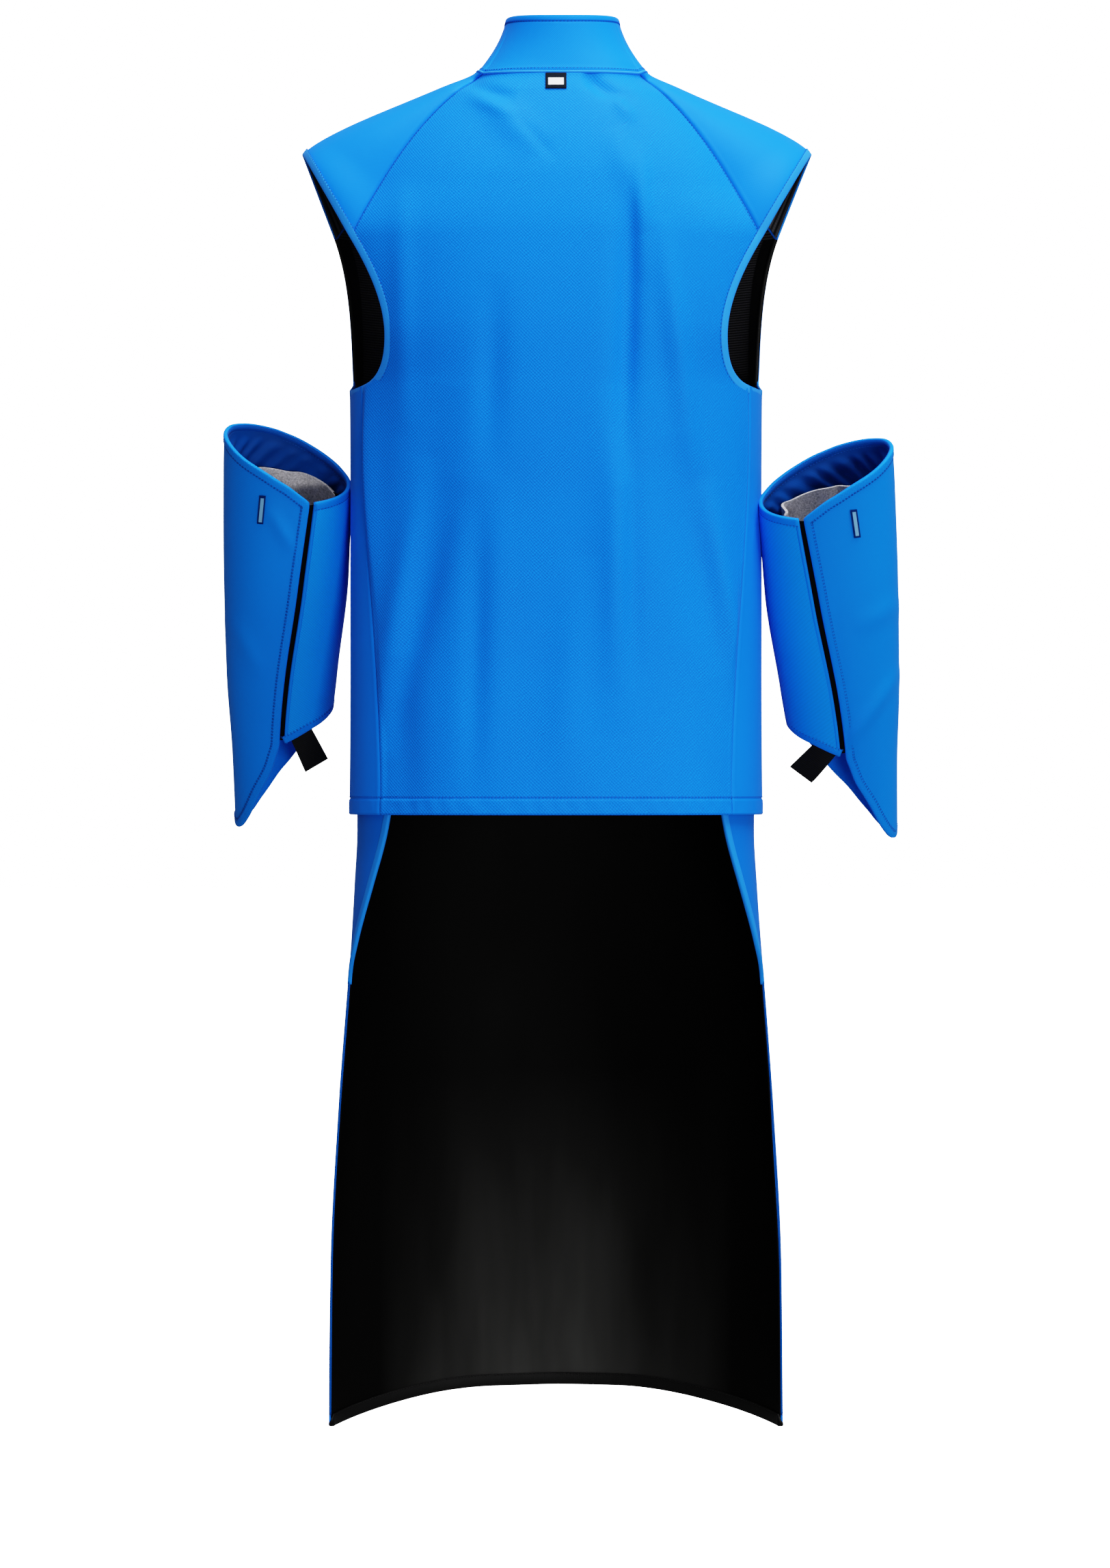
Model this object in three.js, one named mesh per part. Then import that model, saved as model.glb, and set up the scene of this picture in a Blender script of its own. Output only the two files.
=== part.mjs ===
// Water jetting vest with its two forearm guards, in the form it has when worn.
// Millimetres, +Z up. The wearer faces +Y, the back looks toward -Y and +X is the wearer's right.
// The origin is the middle of the neck opening, level with the sides of the neck seam.
import * as THREE from "three";

// Driving sizes: cloth, seams and small pieces
const BACK_CLOTH = 1.5;
const SIDE_CLOTH = 1.5;
const SHOULDER_CLOTH = 1.8;
const FRONT_CLOTH = 2;
const LINING_CLOTH = 1;
const APRON_CLOTH = 2;
const COLLAR_CLOTH = 2.6;
const SEAM_GAP = 0.4;
const HEM_LEVEL = -759;
const BACK_COLUMN_TURN = Math.PI / 2.6;
const FULLNESS = 2.4;
const SIDE_SEAM_ANGLE = 100;
const UNDERARM_LEVEL = -318;

// Neck: the dip of its seam at the back and front, and the loop of the collar's top edge
const NECK_DIP_BACK = -3;
const NECK_DIP_FRONT = -42;
const COLLAR_TOP = { halfWidth: 57, back: 62, front: 66, backLevel: 46, frontLevel: 10 };
const COLLAR_FLARE = 0.13;
const COLLAR_FOOT_GAP = 1.4;
const COLLAR_FULLNESS = 2.1;
const COLLAR_LEVEL_BACK = 1.9;
const COLLAR_SLIT = 0.25;
const COLLAR_TAB = { reach: 1.3, low: 0.2, high: 0.85, thickness: 1.6 };
const NECK_LABEL = { halfWidth: 10.5, top: -16, bottom: -33, thickness: 1 };

// The neck sits a little to the wearer's right of the hem; the shift fades down the yoke
const NECK_SHIFT = { most: 6.5, fade: 45 };

// Seams and free edges in the x, z plane of the wearer's right half: start, two handles, end
const SIDE_SEAM = edge([176.8, HEM_LEVEL], [174, -620], [199, -470], [194, -327]);
const ARMHOLE_LOW = edge([194, -327], [176, -322], [171, -302], [171, -279]);
const ARMHOLE_BACK = edge([171, -279], [171, -245], [190, -208], [206.5, -180]);
const RAGLAN_BACK = edge([206.5, -180], [157, -85], [125, -45], [78.2, -9]);
const RIDGE = edge([259.5, -86.5], [243, -64.3], [139, -29.3], [86, -2.8]);
const RAGLAN_FRONT = edge([229, -165], [186, -100], [134, -62], [79, -19]);

// Torso: how far back and front stand off the neck's middle, and where their curve would end sideways
const BACK = [
  { z: 0, depth: 68, spread: 86 },
  { z: -13, depth: 73, spread: 90 },
  { z: -32, depth: 84, spread: 125 },
  { z: -84, depth: 106, spread: 181 },
  { z: -124, depth: 117, spread: 211 },
  { z: -180, depth: 125, spread: 250 },
  { z: -266, depth: 128, spread: 232 },
  { z: -329, depth: 126, spread: 210 },
  { z: -450, depth: 120, spread: 209.5 },
  { z: -600, depth: 116, spread: 209.5 },
  { z: HEM_LEVEL, depth: 124, spread: 210.5 },
];
const FRONT = [
  { z: -20, depth: 64, spread: 90 },
  { z: -62, depth: 82, spread: 150 },
  { z: -110, depth: 104, spread: 205 },
  { z: -165, depth: 120, spread: 253 },
  { z: -230, depth: 129, spread: 229 },
  { z: -265, depth: 131, spread: 219 },
  { z: -329, depth: 134, spread: 210 },
  { z: -450, depth: 132, spread: 209.5 },
  { z: -600, depth: 128, spread: 209.5 },
  { z: HEM_LEVEL, depth: 134, spread: 210.5 },
];

// Apron: sections from its sewn top edge to its hem; the edge angle counts from the middle of the back
const APRON = [
  { z: -700, halfWidth: 204, fore: 127.4, aft: 116, fullness: 2.4, edge: 55 },
  { z: -774, halfWidth: 202, fore: 130, aft: 118, fullness: 2.35, edge: 55 },
  { z: -830, halfWidth: 205, fore: 134, aft: 118, fullness: 2.25, edge: 62.5 },
  { z: -890, halfWidth: 209, fore: 139, aft: 118, fullness: 2.15, edge: 72 },
  { z: -935, halfWidth: 212.5, fore: 143, aft: 118, fullness: 2.05, edge: 90 },
  { z: -1060, halfWidth: 222, fore: 148, aft: 118, fullness: 1.85, edge: 91 },
  { z: -1220, halfWidth: 230, fore: 154, aft: 118, fullness: 1.7, edge: 91 },
  { z: -1382.8, halfWidth: 231.5, fore: 158, aft: 118, fullness: 1.6, edge: 91 },
];
const APRON_HEM_RISE = { most: 22.8, start: 0.25, end: 0.95 };
const APRON_HEM_TAPE = { height: 11, thickness: 1 };

// Soft folds: a line from one end to the other in x, z, the half width and the height of its swell
const BACK_FOLDS = [
  { x1: -88, z1: -22, x2: -14, z2: -98, width: 16, height: 4 },
  { x1: 26, z1: -14, x2: 74, z2: -50, width: 11, height: -4 },
  { x1: 58, z1: -70, x2: 92, z2: -180, width: 15, height: 4 },
  { x1: 72, z1: -110, x2: 66, z2: -430, width: 14, height: -6 },
  { x1: 58, z1: -330, x2: 58, z2: -680, width: 22, height: 5 },
  { x1: -110, z1: -330, x2: -165, z2: -640, width: 26, height: -6 },
  { x1: 118, z1: -380, x2: 165, z2: -620, width: 24, height: -5 },
  { x1: -60, z1: -420, x2: -85, z2: -740, width: 30, height: 4 },
];
const APRON_FOLDS = [
  { x1: -120, z1: -940, x2: -135, z2: -1420, width: 34, height: 6 },
  { x1: -30, z1: -980, x2: -45, z2: -1420, width: 30, height: -5 },
  { x1: 70, z1: -960, x2: 82, z2: -1420, width: 36, height: 6 },
  { x1: 160, z1: -980, x2: 168, z2: -1420, width: 26, height: -4 },
];

// Forearm guard, upright in its own frame: sections down its length, as reaches to the body, away from it
// and half the depth
const GUARD_CLOTH = 3;
const GUARD_FULLNESS = 2.2;
const GUARD_SECTIONS = [
  { z: 30, inner: 63, outer: 63.5, halfDepth: 53 },
  { z: 0, inner: 64, outer: 65, halfDepth: 52 },
  { z: -120, inner: 60, outer: 67.5, halfDepth: 49.5 },
  { z: -230, inner: 46.5, outer: 68, halfDepth: 45 },
  { z: -315, inner: 37.5, outer: 65.5, halfDepth: 42 },
  { z: -420, inner: 36, outer: 64.5, halfDepth: 40 },
];

// The guard's rim, lower edge and felt by turn, in degrees from the middle of the camera's side outward
const GUARD_RIM = [
  { turn: -22, z: -26 },
  { turn: -12, z: -16.5 },
  { turn: 2, z: -2.5 },
  { turn: 18, z: 9.5 },
  { turn: 38, z: 21 },
  { turn: 64, z: 35.5 },
  { turn: 88, z: 37.5 },
  { turn: 108, z: 33.5 },
  { turn: 135, z: 29.5 },
  { turn: 168, z: 19.5 },
  { turn: 186, z: 9.5 },
  { turn: 203, z: -0.5 },
  { turn: 226, z: -12 },
  { turn: 248, z: -20 },
  { turn: 300, z: -25 },
  { turn: 337, z: -26 },
];
const GUARD_LOWER_EDGE = [
  { turn: 0, z: -296 },
  { turn: 7, z: -321 },
  { turn: 20, z: -345 },
  { turn: 42, z: -380.5 },
  { turn: 70, z: -399 },
  { turn: 112, z: -409 },
  { turn: 130, z: -406.5 },
  { turn: 155, z: -384 },
  { turn: 186, z: -345 },
  { turn: 222, z: -299 },
  { turn: 245, z: -279 },
  { turn: 270, z: -269 },
  { turn: 320, z: -277.5 },
  { turn: 356, z: -292.5 },
];
const GUARD_FELT_TOP = [
  { turn: 22, z: -34 },
  { turn: 90, z: -22 },
  { turn: 150, z: -19 },
  { turn: 181, z: -23 },
  { turn: 241, z: -42 },
];
const GUARD_SLIT = { low: 3, rise: 20.8, curve: 1.5, half: 2.8 };
const GUARD_INNER_GAP = 0.9;
const GUARD_FELT = { from: 22, to: 241, low: -150, thickness: 2.5, outerEnd: 100, turn: 80 };
const GUARD_CLOSURE = { half: 15, high: -29, low: -290, thickness: 1.2 };
const GUARD_STRAP = { length: 64, halfWidth: 12.5, bent: 0.62, thickness: 1.6 };
const GUARD_LABEL = { turn: 18.5, half: 2.4, high: -16, low: -47, thickness: 1 };

// Where each guard sits and hangs, the push of its felt on the outer side, and its strap's lower end and lean
const GUARD_RIGHT = {
  x: 272.9, y: -46, z: -420.5, tilt: 24, lean: 2.3, widen: 1.07, length: 0.989,
  felt: -3, strap: { x: -32, z: -320, lean: 36 },
};
const GUARD_LEFT = {
  x: 273.4, y: -12, z: -402, tilt: 24, lean: 0, widen: 1, length: 1,
  felt: 8, strap: { x: -27, z: -325, lean: 22 },
};

// Grid counts
const HALF_COLUMNS = 9;
const SIDE_COLUMNS = 3;
const SIDE_ROWS = 8;
const ARMHOLE_LOW_ROWS = 2;
const ARMHOLE_ROWS = 4;
const RAGLAN_ROWS = 6;
const CAP_COLUMNS = 8;
const APRON_ROWS = 13;
const COLLAR_ROWS = 3;
const GUARD_COLUMNS = 24;
const GUARD_ROWS = 9;
const FELT_GRID = [14, 3];
const CLOSURE_GRID = [4, 8];
const STRAP_GRID = [6, 4];
const GUARD_LABEL_GRID = [1, 2];
const COLLAR_TAB_GRID = [4, 1];
const NECK_LABEL_GRID = [2, 1];

// Materials
const knitBlue = new THREE.MeshStandardMaterial({ color: 0x0d89e0, roughness: 0.85 });
const smoothBlue = new THREE.MeshStandardMaterial({ color: 0x1c93e6, roughness: 0.75 });
const apronBlue = new THREE.MeshStandardMaterial({ color: 0x0b80d4, roughness: 0.75 });
const guardBlue = new THREE.MeshStandardMaterial({ color: 0x0c84d9, roughness: 0.8 });
const liningBlack = new THREE.MeshStandardMaterial({ color: 0x121214, roughness: 0.6 });
const webbingBlack = new THREE.MeshStandardMaterial({ color: 0x0e0e10, roughness: 0.9 });
const feltGrey = new THREE.MeshStandardMaterial({ color: 0xa9abae, roughness: 0.95 });
const labelNavy = new THREE.MeshStandardMaterial({ color: 0x1b2440, roughness: 0.7 });

const radians = THREE.MathUtils.degToRad;
const blend = THREE.MathUtils.lerp;

// A seam or free edge as one cubic curve
function edge(start, handle1, handle2, end) {
  const points = [start, handle1, handle2, end].map(([x, z]) => new THREE.Vector2(x, z));
  return new THREE.CubicBezierCurve(...points);
}

// Smooth curve through one column of a table, against another
function through(table, name, key = "z") {
  const rows = [...table].sort((a, b) => a[key] - b[key]);
  const step = (i) => (rows[i + 1][name] - rows[i][name]) / (rows[i + 1][key] - rows[i][key]);
  const slope = rows.map((row, i) => {
    if (i === 0) return step(0);
    if (i === rows.length - 1) return step(i - 1);
    const [before, after] = [step(i - 1), step(i)];
    return before * after <= 0 ? 0 : (2 * before * after) / (before + after);
  });
  return (place) => {
    const at = THREE.MathUtils.clamp(place, rows[0][key], rows[rows.length - 1][key]);
    let i = 0;
    while (i < rows.length - 2 && at > rows[i + 1][key]) i += 1;
    const span = rows[i + 1][key] - rows[i][key];
    const t = (at - rows[i][key]) / span;
    const turn = t * t * (3 - 2 * t);
    const lift = span * t * (1 - t) * ((1 - t) * slope[i] - t * slope[i + 1]);
    return blend(rows[i][name], rows[i + 1][name], turn) + lift;
  };
}

// Rounded oval: sideways and fore shares of its half sizes at an angle from the middle of its fore side
function oval(angle, fullness) {
  const share = (value) => Math.sign(value) * Math.abs(value) ** (2 / fullness);
  return { side: share(Math.sin(angle)), fore: share(Math.cos(angle)) };
}

// Height of all folds of a table at a place
function swell(folds, x, z) {
  return folds.reduce((sum, fold) => {
    const run = new THREE.Vector2(fold.x2 - fold.x1, fold.z2 - fold.z1);
    const reach = new THREE.Vector2(x - fold.x1, z - fold.z1);
    const along = reach.dot(run) / run.lengthSq();
    const aside = reach.cross(run) / run.length() / fold.width;
    const ends = Math.sin(Math.PI * THREE.MathUtils.clamp(along, 0, 1));
    return sum + fold.height * ends * Math.exp(-aside * aside);
  }, 0);
}

// Panel edge made of several curves with a number of rows each, from the hem up
function edgeOf(parts) {
  const total = parts.reduce((sum, part) => sum + part.rows, 0);
  return (along) => {
    let row = along * total;
    let index = 0;
    while (index < parts.length - 1 && row >= parts[index].rows) {
      row -= parts[index].rows;
      index += 1;
    }
    const share = row / parts[index].rows;
    const point = parts[index].curve.getPoint(share);
    return { x: point.x, z: point.y, part: index, yoke: index === parts.length - 1 ? share : 0 };
  };
}

const backDepth = through(BACK, "depth");
const backSpread = through(BACK, "spread");
const frontDepth = through(FRONT, "depth");
const frontSpread = through(FRONT, "spread");

function torsoY(depth, spread, x) {
  const share = Math.min(1, Math.abs(x) / spread);
  return depth * (1 - share ** FULLNESS) ** (1 / FULLNESS);
}

function backAt(x, z) {
  return new THREE.Vector3(x, -torsoY(backDepth(z), backSpread(z), x), z);
}

function frontAt(x, z) {
  return new THREE.Vector3(x, torsoY(frontDepth(z), frontSpread(z), x), z);
}

// Back panel, from the hem up the side seam, the armhole and the raglan seam to the neck
const backRows = SIDE_ROWS + ARMHOLE_LOW_ROWS + ARMHOLE_ROWS + RAGLAN_ROWS;
const backEdge = edgeOf([
  { curve: SIDE_SEAM, rows: SIDE_ROWS },
  { curve: ARMHOLE_LOW, rows: ARMHOLE_LOW_ROWS },
  { curve: ARMHOLE_BACK, rows: ARMHOLE_ROWS },
  { curve: RAGLAN_BACK, rows: RAGLAN_ROWS },
]);

function backSurface(across, along) {
  const side = backEdge(along);
  const x = (side.x - SEAM_GAP / 2) * Math.sin(across * BACK_COLUMN_TURN) / Math.sin(BACK_COLUMN_TURN);
  const z = side.z + NECK_DIP_BACK * side.yoke * (1 - across * across);
  const point = backAt(x, z);
  point.y -= swell(BACK_FOLDS, x, z) * (1 - across ** 4) * (1 - side.yoke ** 6);
  return point;
}

// Side panel, between its two seams, under the arm
function sideSurface(across, along) {
  const seam = SIDE_SEAM.getPoint(along);
  const spread = backSpread(seam.y);
  const nearAngle = Math.asin(((seam.x + SEAM_GAP / 2) / spread) ** (FULLNESS / 2));
  const angle = blend(nearAngle, radians(SIDE_SEAM_ANGLE), (across + 1) / 2);
  const round = oval(angle, FULLNESS);
  const ahead = (across + 1) / 2;
  const z = seam.y + along ** 4 * (9 * ahead ** 3 - 12 * ahead * (1 - ahead));
  const depth = round.fore > 0 ? backDepth(z) : frontDepth(z);
  return new THREE.Vector3(spread * round.side, -depth * round.fore, z);
}

// Front panel, from the hem up the side seam, the armhole and the raglan seam to the neck
const frontRows = SIDE_ROWS + ARMHOLE_ROWS + RAGLAN_ROWS;
const seamLimit = radians(180 - SIDE_SEAM_ANGLE);
const underarmX = frontSpread(UNDERARM_LEVEL) * oval(seamLimit, FULLNESS).side;
const frontSeam = edge(
  [underarmX, HEM_LEVEL],
  [underarmX, blend(HEM_LEVEL, UNDERARM_LEVEL, 1 / 3)],
  [underarmX, blend(HEM_LEVEL, UNDERARM_LEVEL, 2 / 3)],
  [underarmX, UNDERARM_LEVEL],
);
const armholeFront = edge([underarmX, UNDERARM_LEVEL], [211, -272], [211.5, -215], [229, -165]);
const frontEdge = edgeOf([
  { curve: frontSeam, rows: SIDE_ROWS },
  { curve: armholeFront, rows: ARMHOLE_ROWS },
  { curve: RAGLAN_FRONT, rows: RAGLAN_ROWS },
]);

// Angle from the middle of the front to the panel's edge: fixed along the side seam, then by the edge's x
function frontLimit(side) {
  if (side.part === 0) return seamLimit - SEAM_GAP / frontDepth(side.z);
  const share = Math.min(1, (side.x - SEAM_GAP / 2) / frontSpread(side.z));
  return Math.asin(share ** (FULLNESS / 2));
}

function frontSurface(across, along) {
  const side = frontEdge(along);
  const x = -frontSpread(side.z) * oval(across * frontLimit(side), FULLNESS).side;
  const z = side.z + NECK_DIP_FRONT * side.yoke * (1 - across * across);
  return frontAt(x, z);
}

// Shoulder cap: arches from the back raglan seam over the ridge to the front raglan seam
function capSurface(across, along) {
  const top = RIDGE.getPoint(along);
  const back = RAGLAN_BACK.getPoint(along);
  const front = RAGLAN_FRONT.getPoint(along);
  const seam = across < 0 ? backAt(back.x, back.y) : frontAt(front.x, front.y);
  const start = SEAM_GAP / Math.hypot(top.x - seam.x, top.y - seam.z);
  const turn = blend(Math.PI / 2, start, Math.abs(across));
  const dip = along ** 3 * (1 - Math.abs(across));
  return new THREE.Vector3(
    blend(seam.x, top.x, Math.sin(turn)),
    seam.y * Math.cos(turn),
    blend(seam.z, top.y, Math.sin(turn)) - dip,
  );
}

// Neck seam by count: the back panel's columns, then the cap's, then the front panel's
const NECK_COUNT = 2 * HALF_COLUMNS + CAP_COLUMNS;
function neckSeam(count) {
  if (count <= HALF_COLUMNS) return backSurface(count / HALF_COLUMNS, 1);
  if (count < HALF_COLUMNS + CAP_COLUMNS) {
    return capSurface((2 * (count - HALF_COLUMNS)) / CAP_COLUMNS - 1, 1);
  }
  return frontSurface((count - NECK_COUNT) / HALF_COLUMNS, 1);
}

// Collar by count round the neck and share of its height; counts past the front middle go on round
function collarAt(count, share) {
  const past = Math.abs(count) > NECK_COUNT;
  const size = past ? 2 * NECK_COUNT - Math.abs(count) : Math.abs(count);
  const foot = neckSeam(size);
  const angle = Math.atan2(foot.x / COLLAR_TOP.halfWidth, -foot.y / COLLAR_TOP.back);
  const round = oval(angle, COLLAR_FULLNESS);
  const behind = (1 + Math.cos(angle)) / 2;
  const rim = new THREE.Vector3(
    COLLAR_TOP.halfWidth * round.side,
    -(round.fore > 0 ? COLLAR_TOP.back : COLLAR_TOP.front) * round.fore,
    blend(COLLAR_TOP.frontLevel, COLLAR_TOP.backLevel, Math.min(1, behind * COLLAR_LEVEL_BACK)),
  );
  const inward = share + COLLAR_FLARE * Math.sin(Math.PI * share);
  const flip = (count < 0) !== past ? -1 : 1;
  return new THREE.Vector3(
    flip * blend(foot.x, rim.x, inward),
    blend(foot.y, rim.y, inward),
    blend(foot.z + COLLAR_FOOT_GAP, rim.z, share),
  );
}

function collarSurface(across, along) {
  return collarAt(across * (NECK_COUNT - COLLAR_SLIT), along);
}

function collarTabSurface(across, along) {
  return collarAt(NECK_COUNT + across * COLLAR_TAB.reach, blend(COLLAR_TAB.low, COLLAR_TAB.high, along));
}

function neckLabelSurface(across, along) {
  return backAt(NECK_LABEL.halfWidth * across, blend(NECK_LABEL.bottom, NECK_LABEL.top, along));
}

// Apron, and the tape along its hem
const apronColumn = Object.fromEntries(
  ["halfWidth", "fore", "aft", "fullness", "edge"].map((name) => [name, through(APRON, name)]),
);
const apronTop = APRON[0].z;
const apronLow = APRON[APRON.length - 1].z;

function apronSurface(across, along) {
  const level = blend(apronLow, apronTop, along);
  const angle = across * radians(180 - apronColumn.edge(level));
  const round = oval(angle, apronColumn.fullness(level));
  const depth = round.fore > 0 ? apronColumn.fore(level) : apronColumn.aft(level);
  const x = -apronColumn.halfWidth(level) * round.side;
  const fold = swell(APRON_FOLDS, x, level) * (1 - across ** 4);
  const low = THREE.MathUtils.smoothstep(Math.abs(across), APRON_HEM_RISE.start, APRON_HEM_RISE.end);
  const z = level + APRON_HEM_RISE.most * (1 - along) ** 2 * (1 - low);
  return new THREE.Vector3(x, depth * round.fore + fold, z);
}

function hemTapeSurface(across, along) {
  return apronSurface(across * 0.995, 0.001 + (along * APRON_HEM_TAPE.height) / (apronTop - apronLow));
}

// Guard in its own frame: +X is the side away from the body, -Y the slit's side
const guardInner = through(GUARD_SECTIONS, "inner");
const guardOuter = through(GUARD_SECTIONS, "outer");
const guardDepth = through(GUARD_SECTIONS, "halfDepth");
const guardRim = through(GUARD_RIM, "z", "turn");
const guardLow = through(GUARD_LOWER_EDGE, "z", "turn");
const guardFeltTop = through(GUARD_FELT_TOP, "z", "turn");

function guardAt(turn, z) {
  const round = oval(radians(turn), GUARD_FULLNESS);
  const middle = (guardOuter(z) - guardInner(z)) / 2;
  const halfWidth = (guardOuter(z) + guardInner(z)) / 2;
  return new THREE.Vector3(middle + halfWidth * round.side, -guardDepth(z) * round.fore, z);
}

function guardSlit(along) {
  return -GUARD_SLIT.low - GUARD_SLIT.rise * along ** GUARD_SLIT.curve;
}

function guardSurface(across, along) {
  const slit = guardSlit(along);
  const turn = blend(slit + GUARD_SLIT.half, slit + 360 - GUARD_SLIT.half, (across + 1) / 2);
  return guardAt(turn, blend(guardLow(turn), guardRim(turn), along));
}

function guardFeltSurface(seat) {
  return (across, along) => {
    const turn = blend(GUARD_FELT.from, GUARD_FELT.to, (across + 1) / 2);
    const pushed = 1 - THREE.MathUtils.clamp((turn - GUARD_FELT.outerEnd) / GUARD_FELT.turn, 0, 1);
    return guardAt(turn, blend(GUARD_FELT.low, guardFeltTop(turn) + seat.felt * pushed, along));
  };
}

function guardClosureSurface(across, along) {
  const z = blend(GUARD_CLOSURE.low, GUARD_CLOSURE.high, along);
  const slit = guardSlit(THREE.MathUtils.inverseLerp(guardLow(0), guardRim(0), z));
  return guardAt(slit + across * GUARD_CLOSURE.half, z);
}

// Strap: a tape that leans to the body on its way down and leaves the flap's curve in a straight line
function guardStrapSurface(seat) {
  const lean = radians(seat.strap.lean);
  const bent = GUARD_STRAP.bent;
  const bentFore = (1 - bent ** GUARD_FULLNESS) ** (1 / GUARD_FULLNESS);
  const fall = (bent / bentFore) ** (GUARD_FULLNESS - 1);
  return (across, along) => {
    const up = along * GUARD_STRAP.length;
    const aside = across * GUARD_STRAP.halfWidth;
    const x = seat.strap.x + up * Math.sin(lean) + aside * Math.cos(lean);
    const z = seat.strap.z + up * Math.cos(lean) - aside * Math.sin(lean);
    const middle = (guardOuter(z) - guardInner(z)) / 2;
    const halfWidth = (guardOuter(z) + guardInner(z)) / 2;
    const side = Math.abs(x - middle) / halfWidth;
    const round = (1 - Math.min(side, bent) ** GUARD_FULLNESS) ** (1 / GUARD_FULLNESS);
    const fore = round - fall * Math.max(0, side - bent);
    return new THREE.Vector3(x, -guardDepth(z) * fore, z);
  };
}

function guardLabelSurface(across, along) {
  const turn = GUARD_LABEL.turn + across * GUARD_LABEL.half;
  return guardAt(turn, blend(GUARD_LABEL.low, GUARD_LABEL.high, along));
}

// Outward direction of a surface, from short steps along it
function outward(surface, across, along) {
  const step = 1e-3;
  const right = surface(Math.min(1, across + step), along);
  const left = surface(Math.max(-1, across - step), along);
  const upper = surface(across, Math.min(1, along + step));
  const lower = surface(across, Math.max(0, along - step));
  return right.sub(left).cross(upper.sub(lower)).normalize();
}

// Splits each square of a block's far face along the same diagonal as on its near face
function matchDiagonals(geometry) {
  const index = geometry.index;
  const far = geometry.groups[5];
  for (let i = far.start; i < far.start + far.count; i += 6) {
    index.setX(i + 2, index.getX(i + 4));
    index.setX(i + 3, index.getX(i));
  }
}

// Closed sheet: a flat block bent so that its faces lie at two depths under a surface
function sheet(name, material, surface, [columns, rows], [outerDepth, innerDepth]) {
  const geometry = new THREE.BoxGeometry(1, 1, 1, columns, rows, 1);
  const place = geometry.attributes.position;
  for (let i = 0; i < place.count; i += 1) {
    const across = 2 * place.getX(i);
    const along = place.getY(i) + 0.5;
    const depth = blend(innerDepth, outerDepth, place.getZ(i) + 0.5);
    const point = surface(across, along).addScaledVector(outward(surface, across, along), -depth);
    place.setXYZ(i, point.x, point.y, point.z);
  }
  matchDiagonals(geometry);
  geometry.computeVertexNormals();
  const mesh = new THREE.Mesh(geometry, material);
  mesh.name = name;
  return mesh;
}

// Depth range of a layer that starts under or over a surface
const under = (start, thickness) => [start, start + thickness];
const over = (thickness) => [-SEAM_GAP - thickness, -SEAM_GAP];

function halfPieces(side, toward) {
  const half = new THREE.Group();
  half.name = `half_${side}`;
  half.add(sheet(`side_panel_${side}`, smoothBlue.clone(), sideSurface,
    [SIDE_COLUMNS, SIDE_ROWS], under(0, SIDE_CLOTH)));
  half.add(sheet(`shoulder_${side}`, smoothBlue.clone(), shifted(flipped(capSurface), toward),
    [CAP_COLUMNS, RAGLAN_ROWS], under(0, SHOULDER_CLOTH)));
  return half;
}

// The same surface walked the other way across, which turns its outward side round
function flipped(surface) {
  return (across, along) => surface(-across, along);
}

// The same surface with its upper part moved sideways, as the neck is; toward is -1 in the mirrored half
function shifted(surface, toward = 1) {
  return (across, along) => {
    const point = surface(across, along);
    point.x += toward * NECK_SHIFT.most * Math.exp(Math.min(0, point.z) / NECK_SHIFT.fade);
    return point;
  };
}

function guardPieces(side, seat) {
  const guard = new THREE.Group();
  guard.name = `guard_${side}`;
  const inner = GUARD_CLOTH + GUARD_INNER_GAP;
  guard.add(sheet(`guard_shell_${side}`, guardBlue.clone(), guardSurface,
    [GUARD_COLUMNS, GUARD_ROWS], under(0, GUARD_CLOTH)));
  guard.add(sheet(`guard_lining_${side}`, feltGrey.clone(), guardFeltSurface(seat),
    FELT_GRID, under(inner, GUARD_FELT.thickness)));
  guard.add(sheet(`guard_closure_${side}`, webbingBlack.clone(), guardClosureSurface,
    CLOSURE_GRID, under(inner, GUARD_CLOSURE.thickness)));
  guard.add(sheet(`guard_strap_${side}`, webbingBlack.clone(), guardStrapSurface(seat),
    STRAP_GRID, under(inner + GUARD_CLOSURE.thickness + SEAM_GAP, GUARD_STRAP.thickness)));
  guard.add(sheet(`guard_label_${side}`, labelNavy.clone(), guardLabelSurface,
    GUARD_LABEL_GRID, over(GUARD_LABEL.thickness)));
  guard.position.set(seat.x, seat.y, seat.z);
  guard.rotation.set(radians(seat.tilt), radians(-seat.lean), 0, "YXZ");
  guard.scale.set(seat.widen, 2 - seat.widen, seat.length);
  return guard;
}

const group = new THREE.Group();
group.name = "water_jetting_vest";
const frontGrid = [2 * HALF_COLUMNS, frontRows];
const apronGrid = [2 * HALF_COLUMNS, APRON_ROWS];
const apronInner = APRON_CLOTH + SEAM_GAP;
group.add(sheet("back_panel", knitBlue, shifted(backSurface), [2 * HALF_COLUMNS, backRows],
  under(0, BACK_CLOTH)));
group.add(sheet("front_panel", smoothBlue.clone(), shifted(frontSurface), frontGrid, under(0, FRONT_CLOTH)));
group.add(sheet("front_lining", liningBlack.clone(), shifted(frontSurface), frontGrid,
  under(FRONT_CLOTH + SEAM_GAP, LINING_CLOTH)));
group.add(sheet("apron", apronBlue, apronSurface, apronGrid, under(0, APRON_CLOTH)));
group.add(sheet("apron_lining", liningBlack.clone(), apronSurface, apronGrid,
  under(apronInner, LINING_CLOTH)));
group.add(sheet("apron_hem_tape", liningBlack.clone(), hemTapeSurface, [2 * HALF_COLUMNS, 1],
  under(apronInner + LINING_CLOTH + SEAM_GAP, APRON_HEM_TAPE.thickness)));
group.add(sheet("collar", smoothBlue.clone(), shifted(collarSurface), [2 * NECK_COUNT, COLLAR_ROWS],
  under(0, COLLAR_CLOTH)));
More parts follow.
